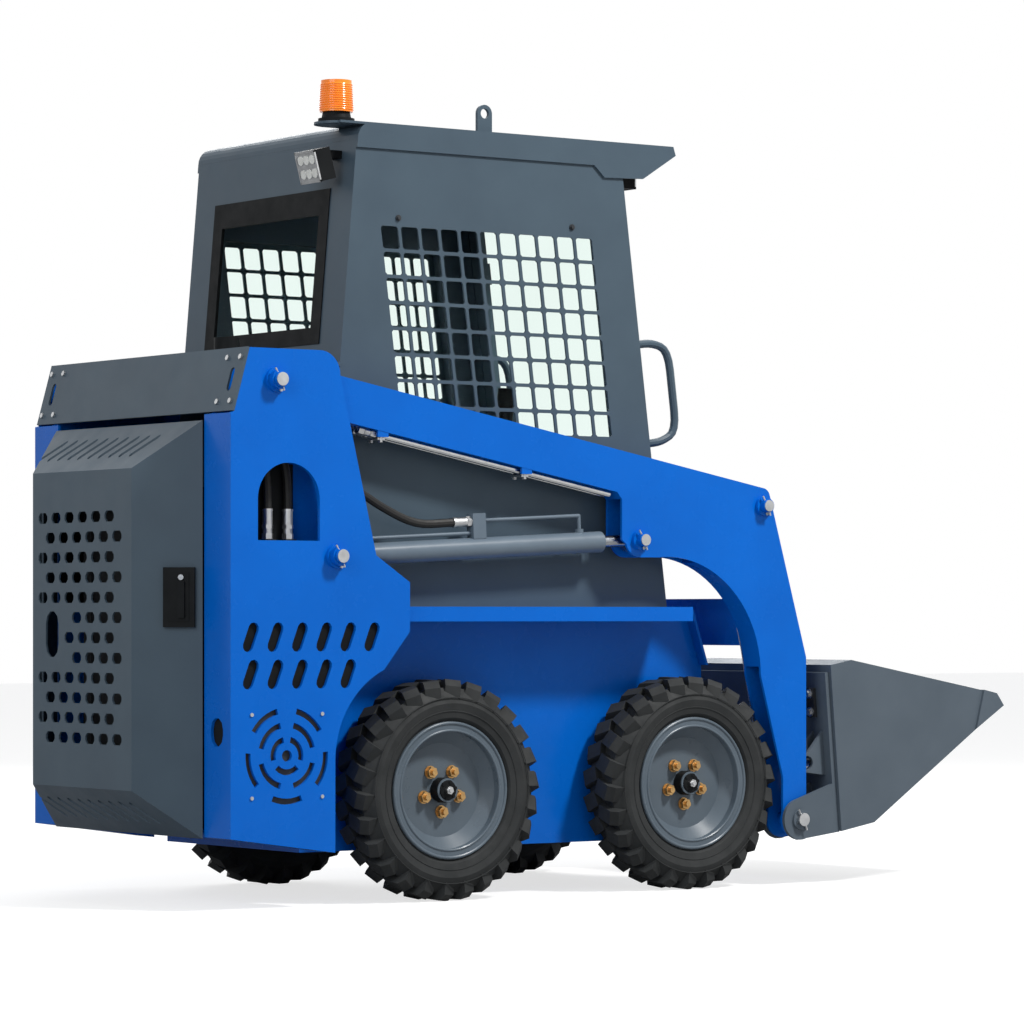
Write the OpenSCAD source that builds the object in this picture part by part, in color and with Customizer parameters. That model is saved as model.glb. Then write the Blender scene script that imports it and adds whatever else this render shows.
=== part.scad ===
// Compact wheeled skid steer loader with a glazed cab, a boom with two arms and a bucket.
// Machine frame: x forward from the rear axle, y to the left, z up from the ground, in millimetres.

/* [Wheels] */
// Outside diameter of a tyre over its lugs
tyre_d = 570; // [540:1:590]
// Width of a tyre
tyre_w = 145; // [130:1:155]
// Diameter of the rim's bead seat
rim_d = 320; // [300:1:340]
// Depth of the grooves between the tyre's lugs
lug_depth = 20; // [12:1:26]
// Number of lugs on each shoulder of a tyre
lug_count = 26; // [20:1:30]
// Distance from the rear axle to the front axle
wheelbase = 793; // [780:1:830]
// Distance between the middles of the left and right tyres
track_w = 825; // [815:1:850]
// Inset of the wheel disc from the tyre's outer face
disc_inset = 58; // [45:1:66]
// Circle of the wheel nuts
nut_circle_d = 114; // [100:1:125]
// Radius of the axle shaft in the wheel hub
shaft_r = 25; // [20:1:30]

/* [Chassis] */
// Thickness of the chassis sheets
wall_t = 8; // [6:1:10]
// Height of the belly plate above the ground
belly_z = 130; // [110:1:150]
// Height of the chassis walls' top edge
tub_top_z = 751; // [735:1:765]
// Chassis nose ahead of the front axle
nose_ahead = 137; // [110:1:145]
// Floor height of the engine bay
bay_floor_z = 190; // [180:1:200]
// Gap between a tyre and the chassis wall
tyre_side_gap = 10; // [8:1:16]
// Depth of the fender's outer lip
fender_lip = 38; // [30:1:50]
// Front end of the fender ledge
fender_front_x = 782; // [770:1:800]

/* [Towers] */
// Thickness of the tower plates
plate_t = 10; // [8:1:12]
// Overhang of the tower's outer plate beyond the tyres
tower_overhang = 15; // [10:1:20]
// Rear face of the towers
tower_rear_x = -680; // [-690:1:-670]
// Top of the towers
tower_top_z = 1404; // [1395:1:1415]
// Boom pivot, distance from the rear axle
pivot_x = -548; // [-555:1:-540]
// Boom pivot, height
pivot_z = 1326; // [1318:1:1332]
// Lift cylinder base pin, distance from the rear axle
lift_base_x = -368; // [-375:1:-360]
// Lift cylinder base pin, height
lift_base_z = 886; // [880:1:892]
// Radius of the tower pins
tower_pin_r = 20; // [17:1:22]
// Width of the arched service window in a tower
arch_w = 183; // [160:1:190]
// Outer radius of the round fan grille
fan_r = 122; // [110:1:126]

/* [Engine door] */
// Half width of the door at its rim
door_half_w = 374; // [360:1:380]
// Lower edge of the door
door_low_z = 177; // [170:1:190]
// Upper edge of the door
door_top_z = 1225; // [1215:1:1235]
// Depth of the door from rim to face
door_depth = 136; // [120:1:150]
// Width of the chamfered side band
door_bevel = 119; // [105:1:125]
// Sheet thickness of the door
door_t = 5; // [4:1:7]

/* [Cab] */
// Gap between the cab and the towers
cab_gap = 8; // [6:1:12]
// Thickness of the cab's framed walls
cab_wall = 30; // [26:1:34]
// Thickness of the pressed skin that carries the window bars
cab_skin = 5; // [4:1:7]
// Lower front corner of the cab
cab_front_x = 766; // [760:1:775]
// Lower rear corner of the cab
cab_rear_x = -341; // [-346:1:-335]
// Top of the cab walls
cab_top_z = 1997; // [1985:1:2010]
// Lean of the cab front
front_lean = 7.35; // [6:0.05:8]
// Lean of the cab rear wall
rear_lean = 5.07; // [4:0.05:6]
// Thickness of the roof sheet
roof_t = 6; // [5:1:8]
// Columns of openings in a side grille
grille_cols = 11; // [9:1:12]
// Rows of openings in a side grille
grille_rows = 8; // [6:1:9]
// Width of a bar between the openings
grille_bar = 9; // [7:1:13]
// Thickness of the window panes
glass_t = 5; // [4:1:6]
// Half width of the rear window
rear_window_half_w = 271; // [250:1:285]
// Diameter of the beacon's lens
beacon_d = 86; // [76:1:94]
// Height of the beacon's lens
beacon_h = 81; // [70:1:90]
// Radius of the grab handles' tube
handle_r = 11; // [9:1:13]
// Radius of the hole in a lifting eye
eye_hole_r = 13; // [11:0.5:15]

/* [Boom] */
// Width of a boom arm
arm_w = 72; // [68:1:74]
// Thickness of the boom plates
arm_t = 8; // [6:1:9]
// Side clearance of a boom arm in its tower
arm_gap = 5; // [5:0.5:8]
// Depth of the upper beam
beam_depth = 111; // [104:1:116]
// Slope of the upper beam
beam_slope = 10.75; // [10.5:0.05:11]
// Gap between a front tyre and the boom leg
leg_gap = 15; // [12:1:20]
// Boom foot pivot ahead of the leg's rear edge
foot_ahead = 49; // [45:1:54]
// Height of the boom foot pivot
foot_z = 179; // [172:1:186]
// Lift cylinder rod pin, distance from the rear axle
lift_pin_x = 603; // [596:1:610]
// Lift cylinder rod pin, height
lift_pin_z = 937; // [930:1:944]
// Radius of the leg's large inner curve
leg_curve_r = 318; // [308:1:326]
// Height of the tilt cylinder's upper pin
tilt_top_z = 1034; // [1030:1:1038]
// Radius of the pins in the boom
boom_pin_r = 18; // [15:1:19]
// Radius of the hydraulic pipes on the boom
pipe_r = 8; // [6:0.5:9]

/* [Cylinders] */
// Radius of a lift cylinder barrel
lift_barrel_r = 28; // [25:1:31]
// Radius of a lift cylinder rod
lift_rod_r = 16; // [13:0.5:18]
// Radius of a tilt cylinder barrel
tilt_barrel_r = 23; // [20:1:23]
// Radius of a tilt cylinder rod
tilt_rod_r = 13; // [11:0.5:15]
// Distance from the foot pivot to the tilt rod pin
tilt_lever_r = 160; // [152:1:166]
// Radius of the hoses
hose_r = 11; // [9:0.5:12]
// Running clearance around pins and rods
fit_gap = 0.4; // [0.3:0.1:0.6]

/* [Bucket] */
// Width of the bucket
bucket_w = 1020; // [1000:2:1060]
// Height of the bucket's back
bucket_h = 475; // [460:1:490]
// Reach of the bucket from its back to its lip
bucket_reach = 617; // [600:1:640]
// Height of the lip above the bucket's back corner
lip_h = 303; // [290:1:315]
// Thickness of the bucket's sheets
bucket_t = 10; // [8:1:12]
// Thickness of the cutting edge
edge_t = 18; // [14:1:22]
// Lean of the bucket's back
bucket_lean = 4.9; // [4:0.1:6]
// Thickness of the coupler plate
coupler_t = 14; // [12:1:18]

/* [Hidden] */
$fn = 64;

// Places across the machine, from the tyres outward and inward
axle_z = tyre_d / 2;
tyre_mid_y = track_w / 2;
tyre_in_y = tyre_mid_y - tyre_w / 2;
tyre_out_y = tyre_mid_y + tyre_w / 2;
tub_y = tyre_in_y - tyre_side_gap;
tower_out_y = tyre_out_y + tower_overhang;
arm_out_y = tower_out_y - plate_t - arm_gap;
arm_in_y = arm_out_y - arm_w;
arm_mid_y = (arm_out_y + arm_in_y) / 2;
tower_in_out_y = arm_in_y - arm_gap;
tower_in_y = tower_in_out_y - plate_t;
cab_y = tower_in_y - cab_gap;
cab_in_y = cab_y - cab_wall;

// Gap between faces that rest on each other
seat_gap = 0.2;

// Places along and above the chassis
bay_rear_x = tower_rear_x + wall_t;
arch_back_x = -371;
bay_front_x = arch_back_x + wall_t;
nose_cut = 70;
tub_front_x = wheelbase + nose_ahead;
nose_low_z = belly_z + 170;
nose_high_z = tub_top_z - 150;
nose_top_x = tub_front_x - 50;
nose_flange = 32;
deck_z = tower_top_z - 20;
fender_t = 8;
cab_base_z = tub_top_z + fender_t;
tower_nose_x = -144;

// Pins, each as [x, z]
p_pivot = [pivot_x, pivot_z];
p_lift_base = [lift_base_x, lift_base_z];
p_lift_rod = [lift_pin_x, lift_pin_z];
leg_rear_x = wheelbase + tyre_d / 2 + leg_gap;
p_foot = [leg_rear_x + foot_ahead, foot_z];
p_tilt_top = [p_foot[0] - 119, tilt_top_z];
leg_line_a = atan2(p_tilt_top[1] - p_foot[1], p_tilt_top[0] - p_foot[0]);
tilt_lever_a = leg_line_a - 25;
p_tilt_rod = p_foot + tilt_lever_r * [cos(tilt_lever_a), sin(tilt_lever_a)];

// Bucket frame: its origin is the lower corner of the bucket's back
bucket_x = p_foot[0] + 139;
bucket_z = p_foot[1] - 52;
function bk(p) = [
    bucket_x + p[0] * cos(bucket_lean) - p[1] * sin(bucket_lean),
    bucket_z + p[0] * sin(bucket_lean) + p[1] * cos(bucket_lean)
];
lip = [bucket_reach, lip_h];
heel = [119, 27];
lip_corner = bk(lip);
door_gap = 5;
door_x = tower_rear_x - door_gap;
origin_x = (door_x - door_depth + lip_corner[0]) / 2;

// Outline of a slot with round ends, along x and centred
function oblong(length, width, steps = 5) = [
    for (i = [0 : steps]) [
        (length - width) / 2 + width / 2 * cos(-90 + 180 * i / steps),
        width / 2 * sin(-90 + 180 * i / steps)
    ],
    for (i = [0 : steps]) [
        -(length - width) / 2 + width / 2 * cos(90 + 180 * i / steps),
        width / 2 * sin(90 + 180 * i / steps)
    ]
];

// Outline of a slot with cut corners, centred
function soft_slot(length, width, cut) = [
    for (q = [[1, 1], [-1, 1], [-1, -1], [1, -1]]) for (k = [0, 1])
        let (first = (q[0] * q[1] > 0) == (k == 0))
        [q[0] * (length / 2 - (first ? 0 : cut)), q[1] * (width / 2 - (first ? cut : 0))]
];

function heading(a) = [cos(a), sin(a)];

// Outline of a curved slot between two angles
function arc_slot(r, width, a0, a1, steps = 6) = [
    for (i = [0 : steps]) (r + width / 2) * heading(a0 + (a1 - a0) * i / steps),
    for (i = [steps : -1 : 0]) (r - width / 2) * heading(a0 + (a1 - a0) * i / steps)
];

// Round tube swept along a list of points as one closed surface
function unit(v) = v / norm(v);
function tangent(p, i) = unit(p[min(i + 1, len(p) - 1)] - p[max(i - 1, 0)]);
function ring_point(p, i, r, a, side) =
    let (t = tangent(p, i), u = unit(cross(t, side)), v = cross(u, t))
    p[i] + r * (cos(a) * u + sin(a) * v);

module tube(p, r, side = [0, 1, 0], sides = 10) {
    n = len(p);
    points = [for (i = [0 : n - 1]) for (k = [0 : sides - 1]) ring_point(p, i, r, 360 * k / sides, side)];
    walls = [
        for (i = [0 : n - 2]) for (k = [0 : sides - 1])
            [i * sides + k, i * sides + (k + 1) % sides, (i + 1) * sides + (k + 1) % sides, (i + 1) * sides + k]
    ];
    first = [for (k = [sides - 1 : -1 : 0]) k];
    last = [for (k = [0 : sides - 1]) (n - 1) * sides + k];
    polyhedron(points, concat(walls, [first, last]), 4);
}

// Smooth points through a chain of corners, each rounded by a quadratic curve
function rounded(c, steps = 4) = concat(
    [c[0]],
    [for (i = [1 : len(c) - 2]) for (k = [0 : steps])
        let (t = k / steps, a = (c[i - 1] + c[i]) / 2, b = (c[i] + c[i + 1]) / 2)
        let (from = i == 1 ? c[i] + (c[0] - c[i]) * 0.5 : a)
        let (to = i == len(c) - 2 ? c[i] + (c[i + 1] - c[i]) * 0.5 : b)
        if (i == 1 || k > 0)
        (1 - t) * (1 - t) * from + 2 * t * (1 - t) * c[i] + t * t * to],
    [c[len(c) - 1]]
);

// Placing helpers
module in_frame() {
    translate([-origin_x, 0, 0]) children();
}

module both_sides() {
    children();
    mirror([0, 1, 0]) children();
}

module on_side(right) {
    mirror([0, right ? 1 : 0, 0]) children();
}

module sheet_xz(y0, y1) {
    translate([0, y1, 0]) rotate([90, 0, 0]) linear_extrude(y1 - y0) children();
}

module rod_y(p, r, y0, y1) {
    translate([p[0], y0, p[1]]) rotate([-90, 0, 0]) cylinder(r = r, h = y1 - y0);
}

module spot(p, r) {
    translate(p) circle(r);
}

module block(low, high) {
    translate(low) cube(high - low);
}

// Chassis
module tub_side_outline() {
    polygon([
        [arch_back_x, belly_z], [tub_front_x - nose_cut, belly_z], [tub_front_x, nose_low_z],
        [tub_front_x, nose_high_z], [nose_top_x, tub_top_z], [arch_back_x, tub_top_z]
    ]);
}

module tub_front_outline() {
    difference() {
        tub_side_outline();
        translate([-wall_t, 0]) tub_side_outline();
        polygon([
            [arch_back_x - 1, belly_z - 1], [tub_front_x - nose_cut - wall_t, belly_z - 1],
            [tub_front_x - nose_cut - wall_t, tub_top_z + 1], [arch_back_x - 1, tub_top_z + 1]
        ]);
    }
}

module chassis_tub() {
    color("royalblue") in_frame() union() {
        both_sides() sheet_xz(tub_y - wall_t, tub_y) tub_side_outline();
        sheet_xz(-tub_y, tub_y) tub_front_outline();
        sheet_xz(-tub_y - nose_flange, tub_y + nose_flange) polygon([
            [nose_top_x, tub_top_z], [tub_front_x, nose_high_z],
            [tub_front_x - wall_t, nose_high_z], [nose_top_x - wall_t, tub_top_z]
        ]);
        block([arch_back_x, -tub_y, belly_z], [tub_front_x - nose_cut, tub_y, belly_z + wall_t]);
        block([arch_back_x, -tub_y, belly_z], [bay_front_x, tub_y, bay_floor_z + wall_t]);
        block([bay_rear_x, -tower_in_y, bay_floor_z], [bay_front_x, tower_in_y, bay_floor_z + wall_t]);
        both_sides() block(
            [arch_back_x, tub_y - wall_t, bay_floor_z], [bay_front_x, tower_in_y, tub_top_z]);
        both_sides() block(
            [bay_rear_x, tower_in_y - wall_t, bay_floor_z], [bay_front_x, tower_in_y, tub_top_z]);
    }
}

module fenders() {
    color("royalblue") in_frame() both_sides() union() {
        block([tower_nose_x, tub_y - wall_t, tub_top_z], [fender_front_x, tyre_out_y, cab_base_z]);
        block([tower_nose_x, tyre_out_y - fender_t, cab_base_z - fender_lip],
            [fender_front_x, tyre_out_y, cab_base_z]);
    }
}

// Towers that carry the boom
tower_low_rear_z = 181;
tower_low_front_z = 138;
tower_shoulder_z = 1244;
tower_shoulder_x = tower_rear_x + 11;
tower_top_rear_x = -624;
tower_top_front_x = -356;
tower_corner_r = 60;
tower_knee = [-247, 889];
tower_nose_top_z = 821;
tower_nose_low_z = 695;
arch_hip = [-222, 600];
arch_curve_c = [-121, 370];
arch_curve_r = 250;

module tower_outline() {
    corner = [tower_top_front_x - tower_corner_r, tower_top_z - tower_corner_r];
    difference() {
        union() {
            polygon([
                [tower_rear_x, tower_low_rear_z], [tower_rear_x, tower_shoulder_z - 4],
                [tower_shoulder_x, tower_shoulder_z], [tower_top_rear_x, tower_top_z], [corner[0], tower_top_z],
                [tower_top_front_x, corner[1]], tower_knee, [tower_nose_x, tower_nose_top_z],
                [tower_nose_x, tower_nose_low_z], arch_hip, [arch_hip[0], arch_curve_c[1]],
                [arch_back_x, arch_curve_c[1]], [arch_back_x, tower_low_front_z]
            ]);
            spot(corner, tower_corner_r);
        }
        spot(arch_curve_c, arch_curve_r);
    }
}

slot_pitch = 72.2;
slot_first_x = -621;
slot_rows = [[682, 6], [589, 5]];
slot_lean = 69;
slot_size = [78, 30];
fan_c = [-515, 385];
fan_slot_w = 15;
fan_rings = [[1, 5], [0.7, 4], [0.4, 3]];
arch_mid_x = -509;
arch_low_z = 924;

module tower_cutouts() {
    spot(p_pivot, tower_pin_r + fit_gap);
    spot(p_lift_base, tower_pin_r + fit_gap);
    translate([arch_mid_x - arch_w / 2, arch_low_z]) square([arch_w, 195 - arch_w / 2]);
    spot([arch_mid_x, arch_low_z + 195 - arch_w / 2], arch_w / 2);
    for (row = slot_rows) for (k = [0 : row[1] - 1])
        translate([slot_first_x + slot_pitch * k, row[0]]) rotate(slot_lean)
            polygon(oblong(slot_size[0], slot_size[1]));
    spot(fan_c, 0.12 * fan_r);
    for (ring = fan_rings) for (k = [0 : ring[1] - 1])
        translate(fan_c) rotate(90 + 360 * k / ring[1])
            polygon(arc_slot(ring[0] * fan_r - fan_slot_w / 2, fan_slot_w, 14, 360 / ring[1] - 14));
}

module tower_webs() {
    polygon([
        [tower_rear_x, tower_low_rear_z], [arch_back_x, tower_low_front_z],
        [arch_back_x, tower_low_front_z + plate_t], [tower_rear_x, tower_low_rear_z + plate_t]
    ]);
    difference() {
        tower_outline();
        translate([-plate_t, 0]) tower_outline();
        translate([tower_rear_x - 1, tower_nose_top_z - 60]) square([800, 800]);
    }
}

flange_hole = [435, 445];
flange_hole_size = [73, 58];

module tower() {
    difference() {
        union() {
            sheet_xz(tower_out_y - plate_t, tower_out_y) difference() {
                tower_outline();
                tower_cutouts();
            }
            sheet_xz(tower_in_y, tower_in_out_y) difference() {
                tower_outline();
                spot(p_pivot, tower_pin_r + fit_gap);
                spot(p_lift_base, tower_pin_r + fit_gap);
            }
            sheet_xz(tower_in_y, tower_out_y) tower_webs();
            block([tower_rear_x, door_half_w, tower_low_rear_z],
                [bay_rear_x, tower_out_y, tower_shoulder_z - 4]);
        }
        translate([tower_rear_x - 1, flange_hole[0], flange_hole[1]]) rotate([0, 90, 0])
            linear_extrude(wall_t + 2) polygon(oblong(flange_hole_size[0], flange_hole_size[1]));
    }
}

module tower_right() {
    color("royalblue") in_frame() on_side(true) tower();
}

module tower_left() {
    color("royalblue") in_frame() on_side(false) tower();
}

// Axle housings with the shafts that carry the wheels
hub_gap = 0.4;
hub_r = 58;
hub_len = 24;
disc_t = 8;
disc_face = tyre_w / 2 - disc_inset;
hub_in = disc_face - disc_t - hub_len;
housing_flange_r = 72;
housing_flange_t = 14;
housing_r = 50;

module axle_housing() {
    rod_y([0, 0], housing_flange_r, tub_y, tub_y + housing_flange_t);
    rod_y([0, 0], housing_r, tub_y, tyre_mid_y + hub_in - hub_gap);
    rod_y([0, 0], shaft_r, tub_y, tyre_mid_y + disc_face - disc_t - hub_gap);
}

module axle_housings() {
    color("dimgray") in_frame() for (x = [0, wheelbase]) both_sides() translate([x, 0, axle_z]) axle_housing();
}

// Engine, cooling and rear cover pieces
engine_low = [-540, -180, bay_floor_z + wall_t];
engine_high = [-200, 180, 640];

module engine_block() {
    color("dimgray") in_frame() union() {
        block(engine_low, engine_high);
        block([engine_low[0] + 60, -110, engine_high[2]], [engine_high[0] - 60, 110, engine_high[2] + 90]);
    }
}

radiator_x = -650;
radiator_t = 70;
radiator_half_w = 290;
radiator_top_z = 1060;
radiator_rim = 40;

module radiator() {
    low_z = bay_floor_z + wall_t;
    color("black") in_frame() difference() {
        block([radiator_x, -radiator_half_w, low_z], [radiator_x + radiator_t, radiator_half_w, radiator_top_z]);
        block([radiator_x - 1, -radiator_half_w + radiator_rim, low_z + radiator_rim],
            [radiator_x + 8, radiator_half_w - radiator_rim, radiator_top_z - radiator_rim]);
    }
}

module engine_deck() {
    deck_front_x = cab_rear_x + (deck_z - cab_base_z) * tan(rear_lean) - 2;
    color("dimgray") in_frame() difference() {
        block([tower_top_rear_x + 4, -tower_in_y, deck_z - plate_t], [deck_front_x, tower_in_y, deck_z]);
        translate([cap_at[0], cap_at[1], deck_z - plate_t - 1])
            cylinder(r = cap_neck_r + fit_gap, h = plate_t + 2);
    }
}

top_plate_t = 6;
top_plate_slot = [62, 20];

module rear_top_plate() {
    lean = atan2(tower_top_rear_x - tower_shoulder_x, tower_top_z - tower_shoulder_z);
    height = norm([tower_top_rear_x - tower_shoulder_x, tower_top_z - tower_shoulder_z]);
    shoulder = [tower_shoulder_x, 0, tower_shoulder_z];
    color("dimgray") in_frame() translate(shoulder) rotate([0, lean, 0]) difference() {
        block([-top_plate_t, -tower_out_y, 0], [-seat_gap, tower_out_y, height]);
        for (side = [-1, 1]) translate([-top_plate_t - 1, side * (tower_out_y - 45), height / 2])
            rotate([0, 90, 0]) linear_extrude(top_plate_t + 2)
                polygon(oblong(top_plate_slot[0], top_plate_slot[1]));
    }
}

cap_at = [-530, -237];
cap_neck_r = 22;
cap_r = 33;

module filler_cap() {
    color("black") in_frame() translate([cap_at[0], cap_at[1], deck_z]) union() {
        translate([0, 0, -40]) cylinder(r = cap_neck_r, h = 65);
        cylinder(r = cap_neck_r + 8, h = 10);
        translate([0, 0, 25]) cylinder(r = cap_r, h = 36);
    }
}

pin_head_r = 31;
pin_head_t = 9;
pin_boss_r = 25;
pin_stick_out = 32;

module tower_pin(p) {
    rod_y(p, tower_pin_r, tower_in_y, tower_out_y + pin_stick_out);
    rod_y(p, pin_boss_r, tower_out_y + 0.1, tower_out_y + pin_stick_out - 6);
    rod_y(p, pin_head_r, tower_out_y + 0.1, tower_out_y + 0.1 + pin_head_t);
}

module pivot_pins() {
    color("royalblue") in_frame() both_sides() union() {
        tower_pin(p_pivot);
        tower_pin(p_lift_base);
    }
}

// Hinges of the engine door, on the left tower
hinge_pin_r = 5;
hinge_r = 9;
hinge_at = [door_x - 8, door_half_w + 12];
hinge_zs = [door_low_z + 200, door_top_z - 220];
hinge_h = 44;

module door_hinges() {
    color("black") in_frame() for (z = hinge_zs) translate([0, 0, z]) union() {
        for (dz = [-hinge_h, hinge_h]) translate([hinge_at[0], hinge_at[1], dz - hinge_h / 2 + 0.5])
            cylinder(r = hinge_r, h = hinge_h - 1);
        translate([hinge_at[0], hinge_at[1], -1.5 * hinge_h + 1]) cylinder(r = hinge_pin_r, h = 3 * hinge_h - 2);
        for (dz = [-hinge_h, hinge_h])
            block([hinge_at[0], hinge_at[1] + 2, dz - hinge_h / 2 + 0.5],
                [tower_rear_x, hinge_at[1] + 40, dz + hinge_h / 2 - 0.5]);
    }
}

screen_half = 132;
screen_t = 4;

module side_screens() {
    color("dimgray") in_frame() both_sides()
        block([fan_c[0] - screen_half, tower_out_y - plate_t - screen_t, fan_c[1] - screen_half],
            [fan_c[0] + screen_half, tower_out_y - plate_t, fan_c[1] + screen_half]);
}

// Hoses behind the arched window, from a shelf bracket up and into the bay wall
hose_xs = [-524, -464];
hose_y = arm_mid_y - 27;
hose_shelf_z = 928;

module tower_hose(x) {
    y_in = tower_in_out_y + 0.3;
    low = hose_shelf_z;
    tube(rounded([
        [x, hose_y, low], [x, hose_y, low + 60], [x, hose_y, low + 120], [x - 6, hose_y, low + 190],
        [x - 34, hose_y, low + 232], [x - 74, hose_y, low + 236]
    ]), hose_r);
    translate([x - 16, y_in, low - 8]) cube([32, hose_y - y_in + 16, 8.2]);
}

module tower_hoses() {
    color("black") in_frame() both_sides() for (x = hose_xs) tower_hose(x);
}

// Cab
function front_x(z) = cab_front_x - (z - cab_base_z) * tan(front_lean);
function rear_x(z) = cab_rear_x + (z - cab_base_z) * tan(rear_lean);
module on_front() {
    translate([cab_front_x, 0, cab_base_z]) rotate([0, -front_lean, 0]) children();
}

module on_rear() {
    translate([cab_rear_x, 0, cab_base_z]) rotate([0, rear_lean, 0]) children();
}

grille_low_z = 1214;
grille_high_z = 1740;
grille_rear_x = -161;
grille_front_x = 514;
frame_rim = 14;

roof_top_z = cab_top_z + roof_t;
roof_round = 44;
bend_z = roof_top_z - roof_round;
bend_x = rear_x(bend_z);

// Points of the roof's rounded rear edge, from the top down to the rear
function rear_bend(r) = [
    for (i = [0 : 6]) [bend_x + roof_round + r * cos(90 + 15 * i), bend_z + r * sin(90 + 15 * i)]
];

module side_outline() {
    polygon(concat(
        [[cab_rear_x, cab_base_z], [cab_front_x, cab_base_z], [front_x(cab_top_z), cab_top_z]],
        rear_bend(roof_round - roof_t - seat_gap),
        [
            [rear_x(bend_z - seat_gap) + roof_t + seat_gap, bend_z - seat_gap],
            [rear_x(bend_z - seat_gap), bend_z - seat_gap]
        ]
    ));
}

// Point of the slanted grille field, u and v running from 0 to 1
function grille_point(u, v) = [
    grille_rear_x + (grille_front_x - grille_rear_x) * u
        + (1 - v) * (grille_high_z - grille_low_z) * tan(front_lean),
    grille_low_z + (grille_high_z - grille_low_z) * v
];

grille_corner = 5;

module grille_openings() {
    width = grille_front_x - grille_rear_x;
    height = grille_high_z - grille_low_z;
    step_u = (1 + grille_bar / width) / grille_cols;
    step_v = (1 + grille_bar / height) / grille_rows;
    hole_u = step_u - grille_bar / width;
    hole_v = step_v - grille_bar / height;
    cut_u = grille_corner / width;
    cut_v = grille_corner / height;
    for (i = [0 : grille_cols - 1]) for (k = [0 : grille_rows - 1])
        polygon([for (c = [
            [cut_u, 0], [hole_u - cut_u, 0], [hole_u, cut_v], [hole_u, hole_v - cut_v],
            [hole_u - cut_u, hole_v], [cut_u, hole_v], [0, hole_v - cut_v], [0, cut_v]
        ]) grille_point(i * step_u + c[0], k * step_v + c[1])]);
}

module window_field(rim) {
    polygon([
        grille_point(0, 0) + [-rim, -rim], grille_point(1, 0) + [rim, -rim],
        grille_point(1, 1) + [rim, rim], grille_point(0, 1) + [-rim, rim]
    ]);
}

module cab_side() {
    union() {
        sheet_xz(cab_y - cab_skin, cab_y) difference() {
            side_outline();
            grille_openings();
        }
        sheet_xz(cab_in_y, cab_y - cab_skin) difference() {
            side_outline();
            window_field(frame_rim);
        }
    }
}

module cab_side_right() {
    color("dimgray") in_frame() on_side(true) cab_side();
}

module cab_side_left() {
    color("dimgray") in_frame() on_side(false) cab_side();
}

rear_window_low = 1450;
rear_window_high = 1825;

module cab_rear_wall() {
    height = (cab_top_z - cab_base_z) / cos(rear_lean);
    color("dimgray") in_frame() difference() {
        on_rear() block([0, -cab_in_y, -20], [cab_wall, cab_in_y, height + 20]);
        block([cab_rear_x - 50, -cab_y, cab_base_z - 100], [cab_rear_x + 400, cab_y, cab_base_z]);
        block([cab_rear_x - 50, -cab_y, bend_z - seat_gap], [cab_rear_x + 400, cab_y, cab_top_z + 100]);
        on_rear() block(
            [-1, -rear_window_half_w, (rear_window_low - cab_base_z) / cos(rear_lean)],
            [cab_wall + 1, rear_window_half_w, (rear_window_high - cab_base_z) / cos(rear_lean)]);
    }
}

roof_y = cab_y + roof_t;
skirt_low_z = 1937;
visor_low_z = 1906;
visor_step_x = 519;
visor_tip = [792, 1979];
visor_tip_top_x = 784;
beacon_at = [-258, -330];
beacon_tab_r = 58;

module roof_profile() {
    polygon(concat([
        [rear_x(skirt_low_z), skirt_low_z], [visor_step_x, skirt_low_z], [visor_step_x + 34, visor_low_z],
        [visor_step_x + 163, visor_low_z + 4], visor_tip, [visor_tip_top_x, roof_top_z]
    ], rear_bend(roof_round)));
}

module roof_hollow() {
    polygon(concat(
        [[cab_rear_x, visor_low_z - 50], [visor_tip[0] - 26, visor_low_z - 50], [visor_tip[0] - 26, cab_top_z]],
        rear_bend(roof_round - roof_t), [[cab_rear_x, bend_z]]
    ));
}

module cab_roof() {
    color("dimgray") in_frame() union() {
        difference() {
            sheet_xz(-roof_y, roof_y) roof_profile();
            sheet_xz(-cab_y, cab_y) roof_hollow();
        }
        translate([0, 0, cab_top_z]) linear_extrude(roof_t) {
            translate(beacon_at) circle(beacon_tab_r);
            polygon([
                [beacon_at[0] - 30, -roof_y], [bend_x + roof_round + 20, -roof_y],
                [bend_x + roof_round + 20, beacon_at[1] + beacon_tab_r],
                [beacon_at[0], beacon_at[1] + beacon_tab_r]
            ]);
        }
    }
}

post_w = 46;
sill_h = 96;
head_h = 60;
front_h = (skirt_low_z - 12 - cab_base_z) / cos(front_lean);
door_open_half = cab_in_y - post_w;
door_fit = 5;

module cab_front_frame() {
    color("dimgray") in_frame() difference() {
        on_front() block([-cab_wall, -cab_in_y, -20], [0, cab_in_y, front_h]);
        block([cab_front_x - 200, -cab_y, cab_base_z - 100], [cab_front_x + 100, cab_y, cab_base_z]);
        on_front() block([-cab_wall - 1, -door_open_half, sill_h], [1, door_open_half, front_h - head_h]);
    }
    color("dimgray") in_frame() on_front() for (v = cab_hinge_vs) union() {
        translate([cab_hinge_x, cab_hinge_y, v - 20]) cylinder(r = cab_hinge_pin_r, h = cab_hinge_h + 40);
        for (w = [v - 20, v + cab_hinge_h + 1]) {
            translate([cab_hinge_x, cab_hinge_y, w]) cylinder(r = cab_hinge_r, h = 19);
            block([0, cab_hinge_y, w], [cab_hinge_x, cab_hinge_y + 24, w + 19]);
        }
    }
}

footwell_z = 330;
riser_x = 350;

module cab_floor() {
    color("black") in_frame() union() {
        block([rear_x(cab_base_z) + cab_wall + 2, -cab_in_y, cab_base_z],
            [riser_x, cab_in_y, cab_base_z + wall_t]);
        block([riser_x - wall_t, -tub_y + wall_t, footwell_z], [riser_x, tub_y - wall_t, cab_base_z]);
        block([riser_x - wall_t, -tub_y + wall_t, footwell_z],
            [tub_front_x - wall_t - 2, tub_y - wall_t, footwell_z + wall_t]);
    }
}

pane_inset = 6;

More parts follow.
